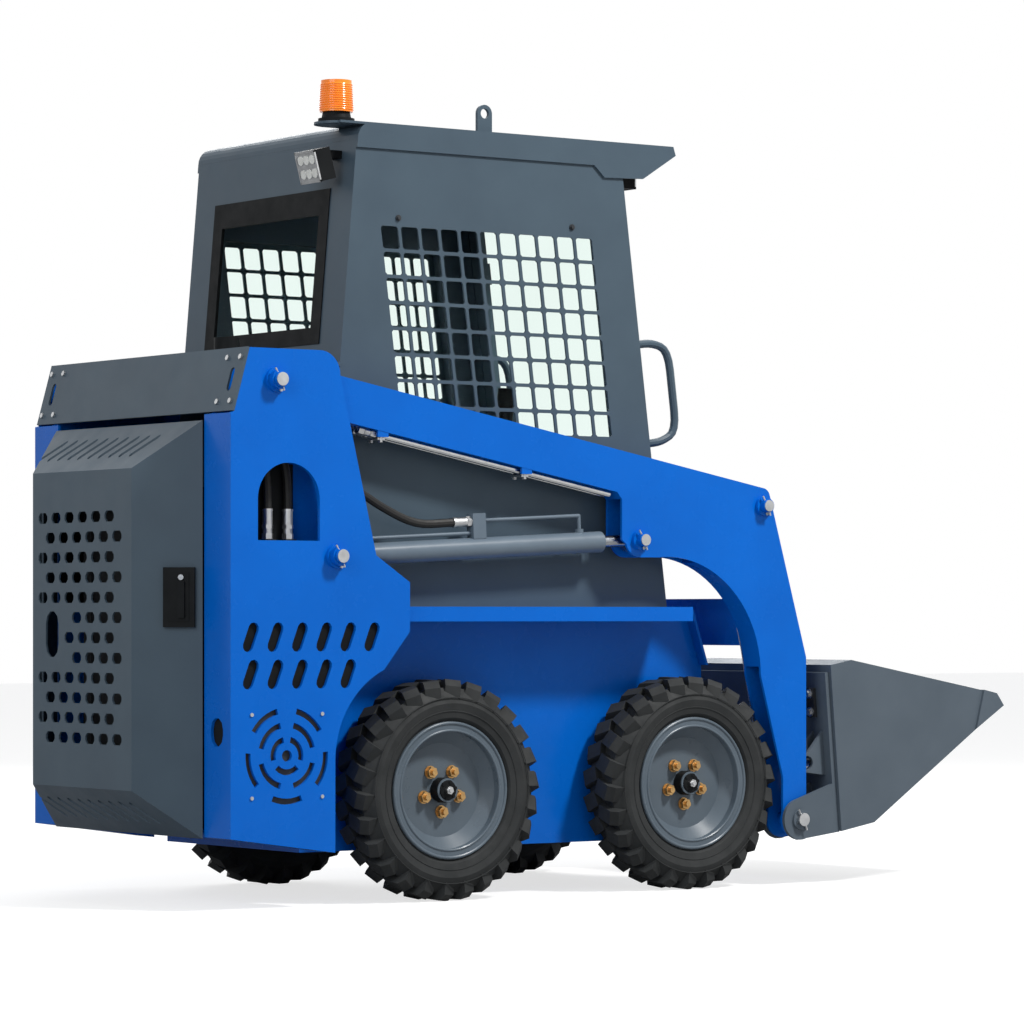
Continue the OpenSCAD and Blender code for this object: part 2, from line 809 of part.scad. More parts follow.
module cab_glass() {
    color([0.55, 0.75, 0.65, 0.4]) in_frame() union() {
        both_sides() sheet_xz(cab_y - cab_skin - pane_inset - glass_t, cab_y - cab_skin - pane_inset)
            window_field(frame_rim - 0.3);
        on_rear() block(
            [pane_inset, -rear_window_half_w + 0.3, (rear_window_low - cab_base_z) / cos(rear_lean) + 0.3],
            [pane_inset + glass_t, rear_window_half_w - 0.3,
                (rear_window_high - cab_base_z) / cos(rear_lean) - 0.3]);
    }
}

seat_base_z = 860;
seat_half_w = 230;

module seat() {
    seat_floor_z = cab_base_z + wall_t;
    color("black") in_frame() union() {
        block([-70, -170, seat_floor_z], [330, 170, seat_base_z]);
        block([-110, -seat_half_w, seat_base_z], [390, seat_half_w, seat_base_z + 120]);
        translate([-110, 0, seat_base_z + 60]) rotate([0, -9, 0])
            block([0, -seat_half_w, 0], [110, seat_half_w, 560]);
    }
}

lever_y = 285;
console_top_z = 1040;

module control_levers() {
    color("black") in_frame() both_sides() union() {
        block([20, lever_y - 40, cab_base_z + wall_t], [330, lever_y + 40, console_top_z]);
        translate([270, lever_y, console_top_z]) rotate([0, 8, 0]) cylinder(r = 12, h = 190);
        translate([270, lever_y, console_top_z]) rotate([0, 8, 0]) translate([0, 0, 190])
            cylinder(r = 24, h = 110);
    }
}

beacon_base_h = 27;

module beacon_base() {
    color("black") in_frame() translate([beacon_at[0], beacon_at[1], roof_top_z]) union() {
        cylinder(r = beacon_d / 2 + 4, h = 10);
        cylinder(r1 = beacon_d / 2 - 2, r2 = beacon_d / 2 - 8, h = beacon_base_h);
    }
}

module beacon_lens() {
    color("orange") in_frame() translate([beacon_at[0], beacon_at[1], roof_top_z + beacon_base_h])
        cylinder(r1 = beacon_d / 2, r2 = beacon_d / 2 - 3, h = beacon_h);
}

lamp_size = [46, 92, 82];
rear_lamp_at = [-304, -304, 1893];
front_lamp_y = 255;

module lamp_body() {
    translate([-lamp_size[0] / 2, -lamp_size[1] / 2, -lamp_size[2] / 2]) cube(lamp_size);
}

module work_lamps() {
    bracket_w = 22;
    wall_x = rear_x(rear_lamp_at[2] + 20);
    color("black") in_frame() union() {
        translate(rear_lamp_at) rotate([0, -15, 0]) lamp_body();
        block([rear_lamp_at[0] - 10, rear_lamp_at[1] - bracket_w, rear_lamp_at[2] + 20],
            [wall_x, rear_lamp_at[1] + bracket_w, rear_lamp_at[2] + 40]);
    }
    color("black") in_frame() both_sides() translate([visor_tip[0] - 90, front_lamp_y, cab_top_z - 62]) union() {
        lamp_body();
        block([-8, -bracket_w, 30], [8, bracket_w, 62]);
    }
}

eye_at = [178, 368];
eye_t = 10;
eye_w = 46;
eye_h = 50;

module lifting_eyes() {
    mid = eye_at[1];
    color("dimgray") in_frame() both_sides() sheet_xz(mid - eye_t / 2, mid + eye_t / 2) difference() {
        union() {
            translate([eye_at[0] - eye_w / 2, roof_top_z]) square([eye_w, eye_h]);
            spot([eye_at[0], roof_top_z + eye_h], eye_w / 2);
        }
        spot([eye_at[0], roof_top_z + eye_h], eye_hole_r);
    }
}

handle_low = 444;
handle_high = 712;
handle_out = 104;

module grab_handles() {
    y = cab_y - cab_wall / 2;
    color("dimgray") in_frame() both_sides() on_front() tube(rounded([
        [0, y, handle_high], [handle_out * 0.5, y, handle_high], [handle_out, y, handle_high - 24],
        [handle_out, y, (handle_low + handle_high) / 2], [handle_out, y, handle_low + 24],
        [handle_out * 0.5, y, handle_low], [0, y, handle_low]
    ]), handle_r);
}

// Engine door: a bevelled tray with a perforated face
module door_form(inset) {
    b = door_bevel;
    front = door_x + (inset > 0 ? 1 : 0);
    back = door_x - door_depth + inset;
    slack = inset * 1.3;
    intersection() {
        sheet_xz(-door_half_w, door_half_w) polygon([
            [front, door_low_z + slack], [front, door_top_z - slack],
            [back, door_top_z - b - slack * 0.4], [back, door_low_z + b + slack * 0.4]
        ]);
        translate([0, 0, door_low_z]) linear_extrude(door_top_z - door_low_z) polygon([
            [front, -door_half_w + slack], [front, door_half_w - slack],
            [back, door_half_w - b - slack * 0.4], [back, -door_half_w + b + slack * 0.4]
        ]);
    }
}

hole_rows = 12;
hole_cols = 6;
hole_pitch = [68.8, 51.4];
hole_size = [47, 28];
hole_top = [201, 988];
hand_hole = [152, 688];
hand_hole_size = [121, 67];
louvre_count = 10;
louvre_pitch = 53;
louvre_first_y = 272;
louvre_size = [84, 15];

module door_cuts() {
    face_x = door_x - door_depth - 1;
    for (row = [0 : hole_rows - 1]) for (col = [0 : hole_cols - 1]) {
        y = hole_top[0] - col * hole_pitch[0] - (row % 2) * 39;
        z = hole_top[1] - row * hole_pitch[1];
        near_hand_hole = abs(y - hand_hole[0]) < 70 && abs(z - hand_hole[1]) < 78;
        if (!near_hand_hole) translate([face_x, y, z]) rotate([90, 0, 90])
            linear_extrude(door_t + 4) polygon(soft_slot(hole_size[0], hole_size[1], 9));
    }
    translate([face_x, hand_hole[0], hand_hole[1]]) rotate([0, 90, 0])
        linear_extrude(door_t + 4) polygon(oblong(hand_hole_size[0], hand_hole_size[1]));
    for (k = [0 : louvre_count - 1]) translate([door_x - door_depth / 2, louvre_first_y - k * louvre_pitch, 0])
        rotate(-44) translate([0, 0, door_low_z - 1]) linear_extrude(door_top_z - door_low_z + 2)
            polygon(oblong(louvre_size[0], louvre_size[1], 3));
}

module engine_door() {
    color("dimgray") in_frame() union() {
        difference() {
            door_form(0);
            door_form(door_t);
            door_cuts();
        }
        for (z = hinge_zs) difference() {
            union() {
                translate([hinge_at[0], hinge_at[1], z - hinge_h / 2]) cylinder(r = hinge_r, h = hinge_h);
                block([hinge_at[0] - 5, door_half_w - 20, z - hinge_h / 2],
                    [hinge_at[0] + 5, hinge_at[1], z + hinge_h / 2]);
            }
            translate([hinge_at[0], hinge_at[1], z - hinge_h])
                cylinder(r = hinge_pin_r + fit_gap, h = 2 * hinge_h);
            door_form(door_t);
        }
    }
}

latch_size = [80, 150];
latch_shift = 32;
latch_mid_z = 782;
latch_t = 12;

module door_latch() {
    bevel_a = atan2(door_bevel, door_depth);
    color("black") in_frame() translate([door_x - door_depth / 2, -door_half_w + door_bevel / 2, latch_mid_z])
        rotate(-bevel_a) translate([latch_shift, -latch_t - seat_gap, 0])
            block([-latch_size[0] / 2, 0, -latch_size[1] / 2], [latch_size[0] / 2, latch_t, latch_size[1] / 2]);
}

// Cab door
door_frame_w = 34;
door_in_h = [sill_h + door_fit, front_h - head_h - door_fit];
cab_hinge_r = 9;
cab_hinge_pin_r = 5;
cab_hinge_x = cab_hinge_r + 1;
cab_hinge_y = door_open_half + 4;
cab_hinge_vs = [sill_h + 140, front_h - head_h - 200];
cab_hinge_h = 60;

module cab_door() {
    half = door_open_half - door_fit;
    color("dimgray") in_frame() on_front() union() {
        difference() {
            block([-cab_wall, -half, door_in_h[0]], [0, half, door_in_h[1]]);
            block([-cab_wall - 1, -half + door_frame_w, door_in_h[0] + door_frame_w],
                [1, half - door_frame_w, door_in_h[1] - door_frame_w]);
        }
        for (v = cab_hinge_vs) difference() {
            union() {
                translate([cab_hinge_x, cab_hinge_y, v]) cylinder(r = cab_hinge_r, h = cab_hinge_h);
                block([0, half - 30, v], [cab_hinge_x, cab_hinge_y, v + cab_hinge_h]);
            }
            translate([cab_hinge_x, cab_hinge_y, v - 1])
                cylinder(r = cab_hinge_pin_r + fit_gap, h = cab_hinge_h + 2);
        }
    }
}

module cab_door_glass() {
    half = door_open_half - door_fit - door_frame_w - 0.3;
    color([0.55, 0.75, 0.65, 0.4]) in_frame() on_front()
        block([-cab_wall / 2 - glass_t, -half, door_in_h[0] + door_frame_w + 0.3],
            [-cab_wall / 2, half, door_in_h[1] - door_frame_w - 0.3]);
}

// Boom arms
beam_dir = [cos(beam_slope), -sin(beam_slope)];
beam_up = [sin(beam_slope), cos(beam_slope)];
root_r = 54;
function beam_top(x) = pivot_z + root_r / cos(beam_slope) - (x - pivot_x) * tan(beam_slope);
function beam_low(x) = beam_top(x) - beam_depth / cos(beam_slope);
knee_x = p_tilt_top[0] + 24;
knee_r = 26;
leg_front_x = p_foot[0] + 32;
leg_bend_z = 622;
elbow_x = lift_pin_x - 59;
elbow_r = 46;
foot_r = 52;
curve_c = [leg_rear_x - 396, 575];
leg_hip = [curve_c[0] + leg_curve_r, curve_c[1]];

module arm_outline() {
    knee_c = [knee_x - knee_r, beam_top(knee_x - knee_r) - knee_r / cos(beam_slope)];
    difference() {
        union() {
            polygon([
                p_pivot + root_r * beam_up, knee_c + knee_r * beam_up, knee_c + [knee_r * 0.97, knee_r * 0.25],
                [leg_front_x, leg_bend_z], [leg_front_x, foot_z], [p_foot[0], foot_z - foot_r * 0.6],
                [leg_rear_x, foot_z], [leg_rear_x, axle_z + 10], leg_hip, curve_c,
                [curve_c[0], lift_pin_z - elbow_r], [lift_pin_x, lift_pin_z - elbow_r],
                [elbow_x, lift_pin_z], [elbow_x, beam_low(elbow_x) - 16],
                [elbow_x - 16, beam_low(elbow_x - 16)], p_pivot + (root_r - beam_depth) * beam_up
            ]);
            spot(p_pivot, root_r);
            spot(knee_c, knee_r);
            spot(p_foot, foot_r);
            spot(p_lift_rod, elbow_r);
        }
        spot(curve_c, leg_curve_r);
    }
}

module arm_strips() {
    top_a = p_pivot + root_r * beam_up + 70 * beam_dir;
    top_b = [knee_x - knee_r, beam_top(knee_x - knee_r)];
    polygon([top_a, top_b, top_b - arm_t * beam_up, top_a - arm_t * beam_up]);
    low_a = p_pivot + (root_r - beam_depth) * beam_up + 70 * beam_dir;
    low_b = [elbow_x - 16, beam_low(elbow_x - 16)];
    polygon([low_a, low_b, low_b + arm_t * beam_up, low_a + arm_t * beam_up]);
    polygon([
        low_b, [elbow_x, beam_low(elbow_x) - 16],
        [elbow_x + arm_t, beam_low(elbow_x) - 12], low_b + arm_t * beam_up
    ]);
    intersection() {
        difference() {
            spot(curve_c, leg_curve_r + arm_t);
            spot(curve_c, leg_curve_r);
        }
        polygon([
            curve_c, curve_c + 600 * heading(4), curve_c + 700 * [0.7, 0.7], curve_c + 600 * heading(72)
        ]);
    }
}

module boom_arm() {
    difference() {
        union() {
            sheet_xz(arm_out_y - arm_t, arm_out_y) arm_outline();
            sheet_xz(arm_in_y, arm_in_y + arm_t) arm_outline();
            sheet_xz(arm_in_y, arm_out_y) arm_strips();
            rod_y(p_pivot, root_r - 12, arm_in_y, arm_out_y);
        }
        rod_y(p_pivot, tower_pin_r + fit_gap, arm_in_y - 1, arm_out_y + 1);
        for (p = [p_lift_rod, p_tilt_top, p_foot]) rod_y(p, boom_pin_r + fit_gap, arm_in_y - 1, arm_out_y + 1);
    }
}

module boom_arm_right() {
    color("royalblue") in_frame() on_side(true) boom_arm();
}

module boom_arm_left() {
    color("royalblue") in_frame() on_side(false) boom_arm();
}

cross_c = [leg_rear_x - 32, 718];
cross_size = [66, 128];

module boom_cross_member() {
    color("navy") in_frame() sheet_xz(-arm_in_y, arm_in_y) difference() {
        translate(cross_c - cross_size / 2) square(cross_size);
        translate(cross_c - cross_size / 2 + [arm_t, arm_t]) square(cross_size - 2 * [arm_t, arm_t]);
    }
}

pipe_ys = [arm_mid_y - 14, arm_mid_y + 12];

leg_pipe_y = arm_in_y - pipe_r - 0.3;

module boom_pipes() {
    start_x = -280;
    end_x = elbow_x - 26;
    color("silver") in_frame() both_sides() union() {
        for (y = pipe_ys) tube([for (x = [start_x, end_x]) [x, y, beam_low(x) - pipe_r - 0.3]], pipe_r);
        tube(rounded([
            [p_tilt_top[0] - 60, leg_pipe_y, 900], [p_tilt_top[0] - 50, leg_pipe_y, 800],
            [p_tilt_top[0] - 10, leg_pipe_y, 679], [p_tilt_top[0] + 10, leg_pipe_y, 569],
            [p_tilt_top[0] + 40, leg_pipe_y, 440]
        ]), pipe_r);
    }
}

boom_head_r = 27;

module boom_pin_head(p) {
    rod_y(p, boom_head_r, arm_out_y + 0.1, arm_out_y + 10);
    rod_y(p, boom_pin_r, arm_out_y - arm_t, arm_out_y + 26);
}

module boom_pins() {
    color("royalblue") in_frame() both_sides() union() {
        boom_pin_head(p_lift_rod);
        rod_y(p_lift_rod, boom_pin_r, arm_in_y, arm_in_y + arm_t);
        boom_pin_head(p_tilt_top);
        rod_y(p_tilt_top, boom_pin_r, arm_in_y, arm_out_y);
        rod_y(p_foot, boom_pin_r, ear_in_y - ear_t, ear_out_y);
    }
}

// Cylinders: drawn along +x from their base pin, then turned to their line
lift_len = norm(p_lift_rod - p_lift_base);
lift_a = atan2(p_lift_rod[1] - p_lift_base[1], p_lift_rod[0] - p_lift_base[0]);
tilt_len = norm(p_tilt_rod - p_tilt_top);
tilt_a = atan2(p_tilt_rod[1] - p_tilt_top[1], p_tilt_rod[0] - p_tilt_top[0]);
lift_barrel_end = 866;
tilt_barrel_end = 470;
lift_eye_r = 34;
tilt_eye_r = 25;

module along(p, angle) {
    translate([p[0], arm_mid_y, p[1]]) rotate([0, -angle, 0]) children();
}

module rod_x(r, x0, x1) {
    translate([x0, 0, 0]) rotate([0, 90, 0]) cylinder(r = r, h = x1 - x0);
}

module barrel(r, rod_r, end, eye_r, eye_w, pin_r) {
    difference() {
        union() {
            rod_x(r, eye_r - 4, end);
            rod_y([0, 0], eye_r, -eye_w / 2, eye_w / 2);
        }
        rod_y([0, 0], pin_r + fit_gap, -eye_w, eye_w);
        rod_x(rod_r + fit_gap, eye_r + 20, end + 1);
    }
}

module rod(r, start, length, eye_r, eye_w) {
    rod_x(r, start, length - eye_r + 4);
    difference() {
        translate([length, 0, 0]) rod_y([0, 0], eye_r, -eye_w / 2, eye_w / 2);
        translate([length, 0, 0]) rod_y([0, 0], boom_pin_r + fit_gap, -eye_w, eye_w);
    }
}

port_x = 470;
port_size = [40, 30, 66];
line_r = 5;
front_port_x = 800;

module lift_barrel() {
    block_z = lift_barrel_r - 3;
    low_line_z = lift_barrel_r + line_r + 7;
    high_line_z = lift_barrel_r + port_size[2] - 22;
    along(p_lift_base, lift_a) union() {
        barrel(lift_barrel_r, lift_rod_r, lift_barrel_end, lift_eye_r, 60, tower_pin_r);
        block([port_x - port_size[0] / 2, -port_size[1] / 2, block_z],
            [port_x + port_size[0] / 2, port_size[1] / 2, block_z + port_size[2]]);
        translate([0, 0, low_line_z]) rod_x(line_r, 70, port_x);
        translate([110, -4, block_z]) cube([16, 8, low_line_z - block_z]);
        translate([0, 0, high_line_z]) rod_x(line_r, port_x, front_port_x);
        translate([front_port_x, 0, high_line_z]) sphere(line_r);
        translate([front_port_x, 0, block_z]) cylinder(r = line_r, h = high_line_z - block_z);
        translate([front_port_x, 0, block_z]) cylinder(r = 11, h = 12);
    }
}

module lift_barrel_right() {
    color("dimgray") in_frame() on_side(true) lift_barrel();
}

module lift_barrel_left() {
    color("dimgray") in_frame() on_side(false) lift_barrel();
}

module lift_rod() {
    along(p_lift_base, lift_a) rod(lift_rod_r, lift_len - lift_barrel_end + lift_eye_r + 260, lift_len, 31, 40);
}

module lift_rod_right() {
    color("silver") in_frame() on_side(true) lift_rod();
}

module lift_rod_left() {
    color("silver") in_frame() on_side(false) lift_rod();
}

module lift_hose() {
    z = lift_barrel_r + port_size[2] - 24;
    back = port_x - port_size[0] / 2;
    along(p_lift_base, lift_a) tube(rounded([
        [back - 0.3, 0, z], [back - 70, 0, z], [back - 170, 0, z - 2], [back - 270, 0, z + 46],
        [back - 330, 0, z + 84], [80, 0, z + 106]
    ]), hose_r);
}

module lift_hose_right() {
    color("black") in_frame() on_side(true) lift_hose();
}

module lift_hose_left() {
    color("black") in_frame() on_side(false) lift_hose();
}

module tilt_barrel() {
    along(p_tilt_top, tilt_a)
        barrel(tilt_barrel_r, tilt_rod_r, tilt_barrel_end, tilt_eye_r, 44, boom_pin_r);
}

module tilt_barrel_right() {
    color("dimgray") in_frame() on_side(true) tilt_barrel();
}

module tilt_barrel_left() {
    color("dimgray") in_frame() on_side(false) tilt_barrel();
}

module tilt_rod() {
    along(p_tilt_top, tilt_a) rod(tilt_rod_r, 100, tilt_len, 25, 24);
}

module tilt_rod_right() {
    color("silver") in_frame() on_side(true) tilt_rod();
}

module tilt_rod_left() {
    color("silver") in_frame() on_side(false) tilt_rod();
}

// Coupler and bucket, with outlines given in the bucket frame
ear_t = 10;
ear_out_y = tower_out_y;
ear_in_y = arm_in_y - arm_gap;
ear_r = 56;
tilt_ear_r = 27;
tilt_ear_t = 9;
coupler_half_w = ear_out_y;
coupler_low = 14;
coupler_top = 455;

module pivot_ear_outline() {
    difference() {
        union() {
            spot(p_foot, ear_r);
            polygon([
                p_foot + [-20, 52], bk([-coupler_t / 2, 150]), bk([-coupler_t / 2, coupler_low]),
                p_foot + [-10, -ear_r]
            ]);
        }
        spot(p_foot, boom_pin_r + fit_gap);
    }
}

module tilt_ear_outline() {
    difference() {
        union() {
            spot(p_tilt_rod, tilt_ear_r);
            polygon([
                p_tilt_rod + [0, tilt_ear_r], bk([-coupler_t / 2, 300]), bk([-coupler_t / 2, 170]),
                p_tilt_rod + [0, -tilt_ear_r]
            ]);
        }
        spot(p_tilt_rod, boom_pin_r + fit_gap);
    }
}

module coupler() {
    tilt_ear_gap = 30;
    color("dimgray") in_frame() union() {
        sheet_xz(-coupler_half_w, coupler_half_w) polygon([
            bk([-coupler_t, coupler_low]), bk([-seat_gap, coupler_low]), bk([-seat_gap, coupler_top]),
            bk([-coupler_t, coupler_top])
        ]);
        both_sides() union() {
            sheet_xz(ear_out_y - ear_t, ear_out_y) pivot_ear_outline();
            sheet_xz(ear_in_y - ear_t, ear_in_y) pivot_ear_outline();
            for (side = [-1, 1]) sheet_xz(arm_mid_y + side * (tilt_ear_gap + tilt_ear_t) / 2 - tilt_ear_t / 2,
                arm_mid_y + side * (tilt_ear_gap + tilt_ear_t) / 2 + tilt_ear_t / 2) tilt_ear_outline();
        }
    }
}

latch_y = 330;

module latch_levers() {
    face = -coupler_t - seat_gap;
    color("dimgray") in_frame() both_sides() union() {
        sheet_xz(latch_y - 14, latch_y + 14) polygon([
            bk([face - 24, 20]), bk([face, 20]), bk([face, 400]), bk([face - 24, 400])
        ]);
        sheet_xz(latch_y + 10, latch_y + 60) polygon([
            bk([face - 22, 330]), bk([face - 4, 330]), bk([face - 4, 400]), bk([face - 22, 400])
        ]);
    }
}

// Bucket: bent floor and back, two side plates and a cutting edge
back_foot = 16;
side_t = 10;
top_shoulder = [75, 482];
lip_top = [594, 340];
side_cutter_t = 8;

floor_a = atan2(lip[1] - heel[1], lip[0] - heel[0]);
floor_up = [-sin(floor_a), cos(floor_a)];

module bucket_shell_outline() {
    polygon([for (p = [
        [0, back_foot], heel, lip, lip + bucket_t * floor_up, heel + bucket_t * floor_up + [18, 10],
        [bucket_t + 34, 62], [bucket_t + 8, 100], [bucket_t, 150], [bucket_t, bucket_h - bucket_t],
        [top_shoulder[0], bucket_h - bucket_t + 6], [top_shoulder[0], top_shoulder[1]], [0, bucket_h]
    ]) bk(p)]);
}

module bucket_side_outline() {
    polygon([for (p = [
        [0, back_foot], heel, lip, lip_top, top_shoulder, [0, bucket_h]
    ]) bk(p)]);
}

module cutting_edge_outline() {
    start = lip - 150 * [cos(floor_a), sin(floor_a)];
    polygon([for (p = [
        start + bucket_t * floor_up, lip + bucket_t * floor_up * 0.4, lip + edge_t * floor_up,
        start + (bucket_t + edge_t) * floor_up
    ]) bk(p)]);
}

module bucket() {
    half = bucket_w / 2;
    color("dimgray") in_frame() union() {
        sheet_xz(-half + 1, half - 1) bucket_shell_outline();
        both_sides() sheet_xz(half - side_t, half) bucket_side_outline();
        sheet_xz(-half + 2, half - 2) cutting_edge_outline();
        both_sides() sheet_xz(half - side_t - 8, half + side_cutter_t) polygon([for (p = [
            lip - 120 * [cos(floor_a), sin(floor_a)] + 4 * floor_up, lip, lip_top, lip_top + [-46, 14]
        ]) bk(p)]);
    }
}

// Wheels
rim_r = rim_d / 2;
bead_half = tyre_w / 2 - 17;
rim_flange_h = 18;
rim_t = 8;

lug_w = 0.6 * PI * tyre_d / lug_count;
lug_slant = 22;

module lug() {
    r = tyre_d / 2;
    h = tyre_w / 2;
    rotate([lug_slant, 0, 0]) translate([0, 0, -lug_w / 2]) linear_extrude(lug_w) polygon([
        [r - lug_depth - 8, 2], [r - 2, 2], [r, h - 20], [0.94 * r, h - 4], [0.83 * r, h - 4], [0.83 * r, h - 22]
    ]);
}

module tyre() {
    r = tyre_d / 2;
    h = tyre_w / 2;
    groove_r = r - lug_depth;
    union() {
        rotate([-90, 0, 0]) rotate_extrude() polygon([
            [rim_r + 0.2, -bead_half], [rim_r + rim_flange_h + 2, -bead_half],
            [rim_r + rim_flange_h + 10, -h + 8], [0.79 * r, -h], [0.84 * r, -h + 4], [groove_r, -h + 24],
            [groove_r, h - 24], [0.84 * r, h - 4], [0.79 * r, h], [rim_r + rim_flange_h + 10, h - 8],
            [rim_r + rim_flange_h + 2, bead_half], [rim_r + 0.2, bead_half]
        ]);
        for (k = [0 : lug_count - 1]) {
            rotate([0, 360 * k / lug_count, 0]) lug();
            rotate([0, 360 * (k + 0.5) / lug_count, 0]) mirror([0, 1, 0]) lug();
        }
    }
}

cap_hub_r = 31;
cap_hub_h = 34;
nut_af = 22;
nut_h = 14;

module rim() {
    well_r = rim_r - 42;
    flange_r = rim_r + rim_flange_h;
    flange_in = bead_half + 0.2;
    union() {
        rotate([-90, 0, 0]) rotate_extrude() polygon([
            [rim_r, -flange_in], [flange_r, -flange_in], [flange_r, -flange_in - 5],
            [rim_r - rim_t, -flange_in - 5],
            [rim_r - rim_t, -10], [well_r, disc_face - disc_t - 8], [hub_r, disc_face - disc_t],
            [hub_r, hub_in], [shaft_r + fit_gap, hub_in], [shaft_r + fit_gap, disc_face - disc_t],
            [0, disc_face - disc_t], [0, disc_face], [well_r + 4, disc_face],
            [rim_r - rim_t, disc_face + 26], [rim_r - rim_t, flange_in + 5],
            [flange_r, flange_in + 5], [flange_r, flange_in], [rim_r, flange_in]
        ]);
        rod_y([0, 0], cap_hub_r, disc_face - 2, disc_face + cap_hub_h);
        for (k = [0 : 4]) rotate([0, 90 + 72 * k, 0]) translate([nut_circle_d / 2, disc_face - 2, 0])
            rotate([-90, 0, 0]) cylinder(d = nut_af / cos(30), h = nut_h + 2, $fn = 6);
    }
}

module wheel_at(x, right) {
    in_frame() on_side(right) translate([x, tyre_mid_y, axle_z]) children();
}

module tyre_front_right() {
    color("black") wheel_at(wheelbase, true) tyre();
}

module tyre_front_left() {
    color("black") wheel_at(wheelbase, false) tyre();
}

module tyre_rear_right() {
    color("black") wheel_at(0, true) tyre();
}

module tyre_rear_left() {
    color("black") wheel_at(0, false) tyre();
}

module rim_front_right() {
    color("dimgray") wheel_at(wheelbase, true) rim();
}

module rim_front_left() {
    color("dimgray") wheel_at(wheelbase, false) rim();
}

module rim_rear_right() {
    color("dimgray") wheel_at(0, true) rim();
}

module rim_rear_left() {
    color("dimgray") wheel_at(0, false) rim();
}

chassis_tub();
fenders();
tower_right();
tower_left();
axle_housings();
engine_block();
radiator();
engine_deck();
rear_top_plate();
filler_cap();
pivot_pins();
door_hinges();
side_screens();
tower_hoses();
cab_side_right();
cab_side_left();
cab_rear_wall();
cab_roof();
cab_front_frame();
cab_floor();
cab_glass();
seat();
control_levers();
beacon_base();
beacon_lens();
work_lamps();
lifting_eyes();
grab_handles();
engine_door();
door_latch();
cab_door();
cab_door_glass();
boom_arm_right();
boom_arm_left();
boom_cross_member();
boom_pipes();
boom_pins();
lift_barrel_right();
lift_barrel_left();
lift_rod_right();
lift_rod_left();
lift_hose_right();
lift_hose_left();
tilt_barrel_right();
tilt_barrel_left();
tilt_rod_right();
tilt_rod_left();
coupler();
latch_levers();
bucket();
tyre_front_right();
tyre_front_left();
tyre_rear_right();
tyre_rear_left();
rim_front_right();
rim_front_left();
rim_rear_right();
rim_rear_left();
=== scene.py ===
import math

import bpy
from mathutils import Matrix, Vector


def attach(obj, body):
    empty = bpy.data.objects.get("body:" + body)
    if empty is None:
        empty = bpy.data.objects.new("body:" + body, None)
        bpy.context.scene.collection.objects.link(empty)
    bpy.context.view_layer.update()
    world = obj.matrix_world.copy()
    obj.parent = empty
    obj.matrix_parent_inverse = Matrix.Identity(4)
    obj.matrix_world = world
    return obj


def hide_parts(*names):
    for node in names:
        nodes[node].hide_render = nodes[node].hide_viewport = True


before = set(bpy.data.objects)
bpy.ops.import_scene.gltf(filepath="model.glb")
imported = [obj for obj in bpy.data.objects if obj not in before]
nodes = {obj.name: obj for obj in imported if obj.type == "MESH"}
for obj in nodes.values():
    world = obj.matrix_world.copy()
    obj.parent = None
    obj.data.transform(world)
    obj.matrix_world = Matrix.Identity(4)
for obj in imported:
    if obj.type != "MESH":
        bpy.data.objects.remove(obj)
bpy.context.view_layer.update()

# Machine frame: x forward from the rear axle, y left, z up, in millimetres
ORIGIN_X = 524.43
TOWER_Y = 500.0
ARM_Y = 485.0
ARM_MID_Y = 449.0
WALL = 8.0
TYRE_MID_Y = 412.5
AXLE_Z = 285.0
WHEELBASE = 793.0
BUCKET_LEAN = math.radians(4.9)
BEAM_SLOPE = math.radians(10.75)
REAR_LEAN = math.radians(5.07)


def at(x, y, z):
    return Vector(((x - ORIGIN_X) / 1000, y / 1000, z / 1000))


# Materials
def new_material(name):
    m = bpy.data.materials.new(name)
    m.use_nodes = True
    tree = m.node_tree
    return m, tree, tree.nodes["Principled BSDF"]


def texture_coords(tree, scale):
    coords = tree.nodes.new("ShaderNodeTexCoord")
    mapping = tree.nodes.new("ShaderNodeMapping")
    mapping.inputs["Scale"].default_value = (scale, scale, scale)
    tree.links.new(coords.outputs["Object"], mapping.inputs["Vector"])
    return mapping.outputs["Vector"]


def noise(tree, scale, detail=4.0, rough=0.55):
    n = tree.nodes.new("ShaderNodeTexNoise")
    n.inputs["Scale"].default_value = scale
    n.inputs["Detail"].default_value = detail
    n.inputs["Roughness"].default_value = rough
    tree.links.new(texture_coords(tree, 1.0), n.inputs["Vector"])
    return n.outputs["Fac"]


def ramp(tree, fac, stops):
    r = tree.nodes.new("ShaderNodeValToRGB")
    r.color_ramp.elements[0].position = stops[0][0]
    r.color_ramp.elements[0].color = stops[0][1]
    r.color_ramp.elements[1].position = stops[-1][0]
    r.color_ramp.elements[1].color = stops[-1][1]
    for pos, col in stops[1:-1]:
        e = r.color_ramp.elements.new(pos)
        e.color = col
    tree.links.new(fac, r.inputs["Fac"])
    return r.outputs["Color"]


def grey(v):
    return (v, v, v, 1.0)


def surface(name, dark, light, rough, scale=9.0, metallic=0.0, bump=0.0, bump_scale=300.0, coat=0.0,
            shine=0.3):
    """Paint, rubber or metal, cloudy between two colours and two roughnesses."""
    m, tree, b = new_material(name)
    color = ramp(tree, noise(tree, scale), [(0.3, (*dark, 1)), (0.7, (*light, 1))])
    tree.links.new(color, b.inputs["Base Color"])
    roughness = ramp(tree, noise(tree, scale * 2.3), [(0.3, grey(rough[0])), (0.7, grey(rough[1]))])
    tree.links.new(roughness, b.inputs["Roughness"])
    b.inputs["Metallic"].default_value = metallic
    b.inputs["Coat Weight"].default_value = coat
    b.inputs["Specular IOR Level"].default_value = shine
    b.inputs["Coat Roughness"].default_value = 0.08
    if bump:
        node = tree.nodes.new("ShaderNodeBump")
        node.inputs["Strength"].default_value = bump
        node.inputs["Distance"].default_value = 0.001
        tree.links.new(noise(tree, bump_scale), node.inputs["Height"])
        tree.links.new(node.outputs["Normal"], b.inputs["Normal"])
    return m


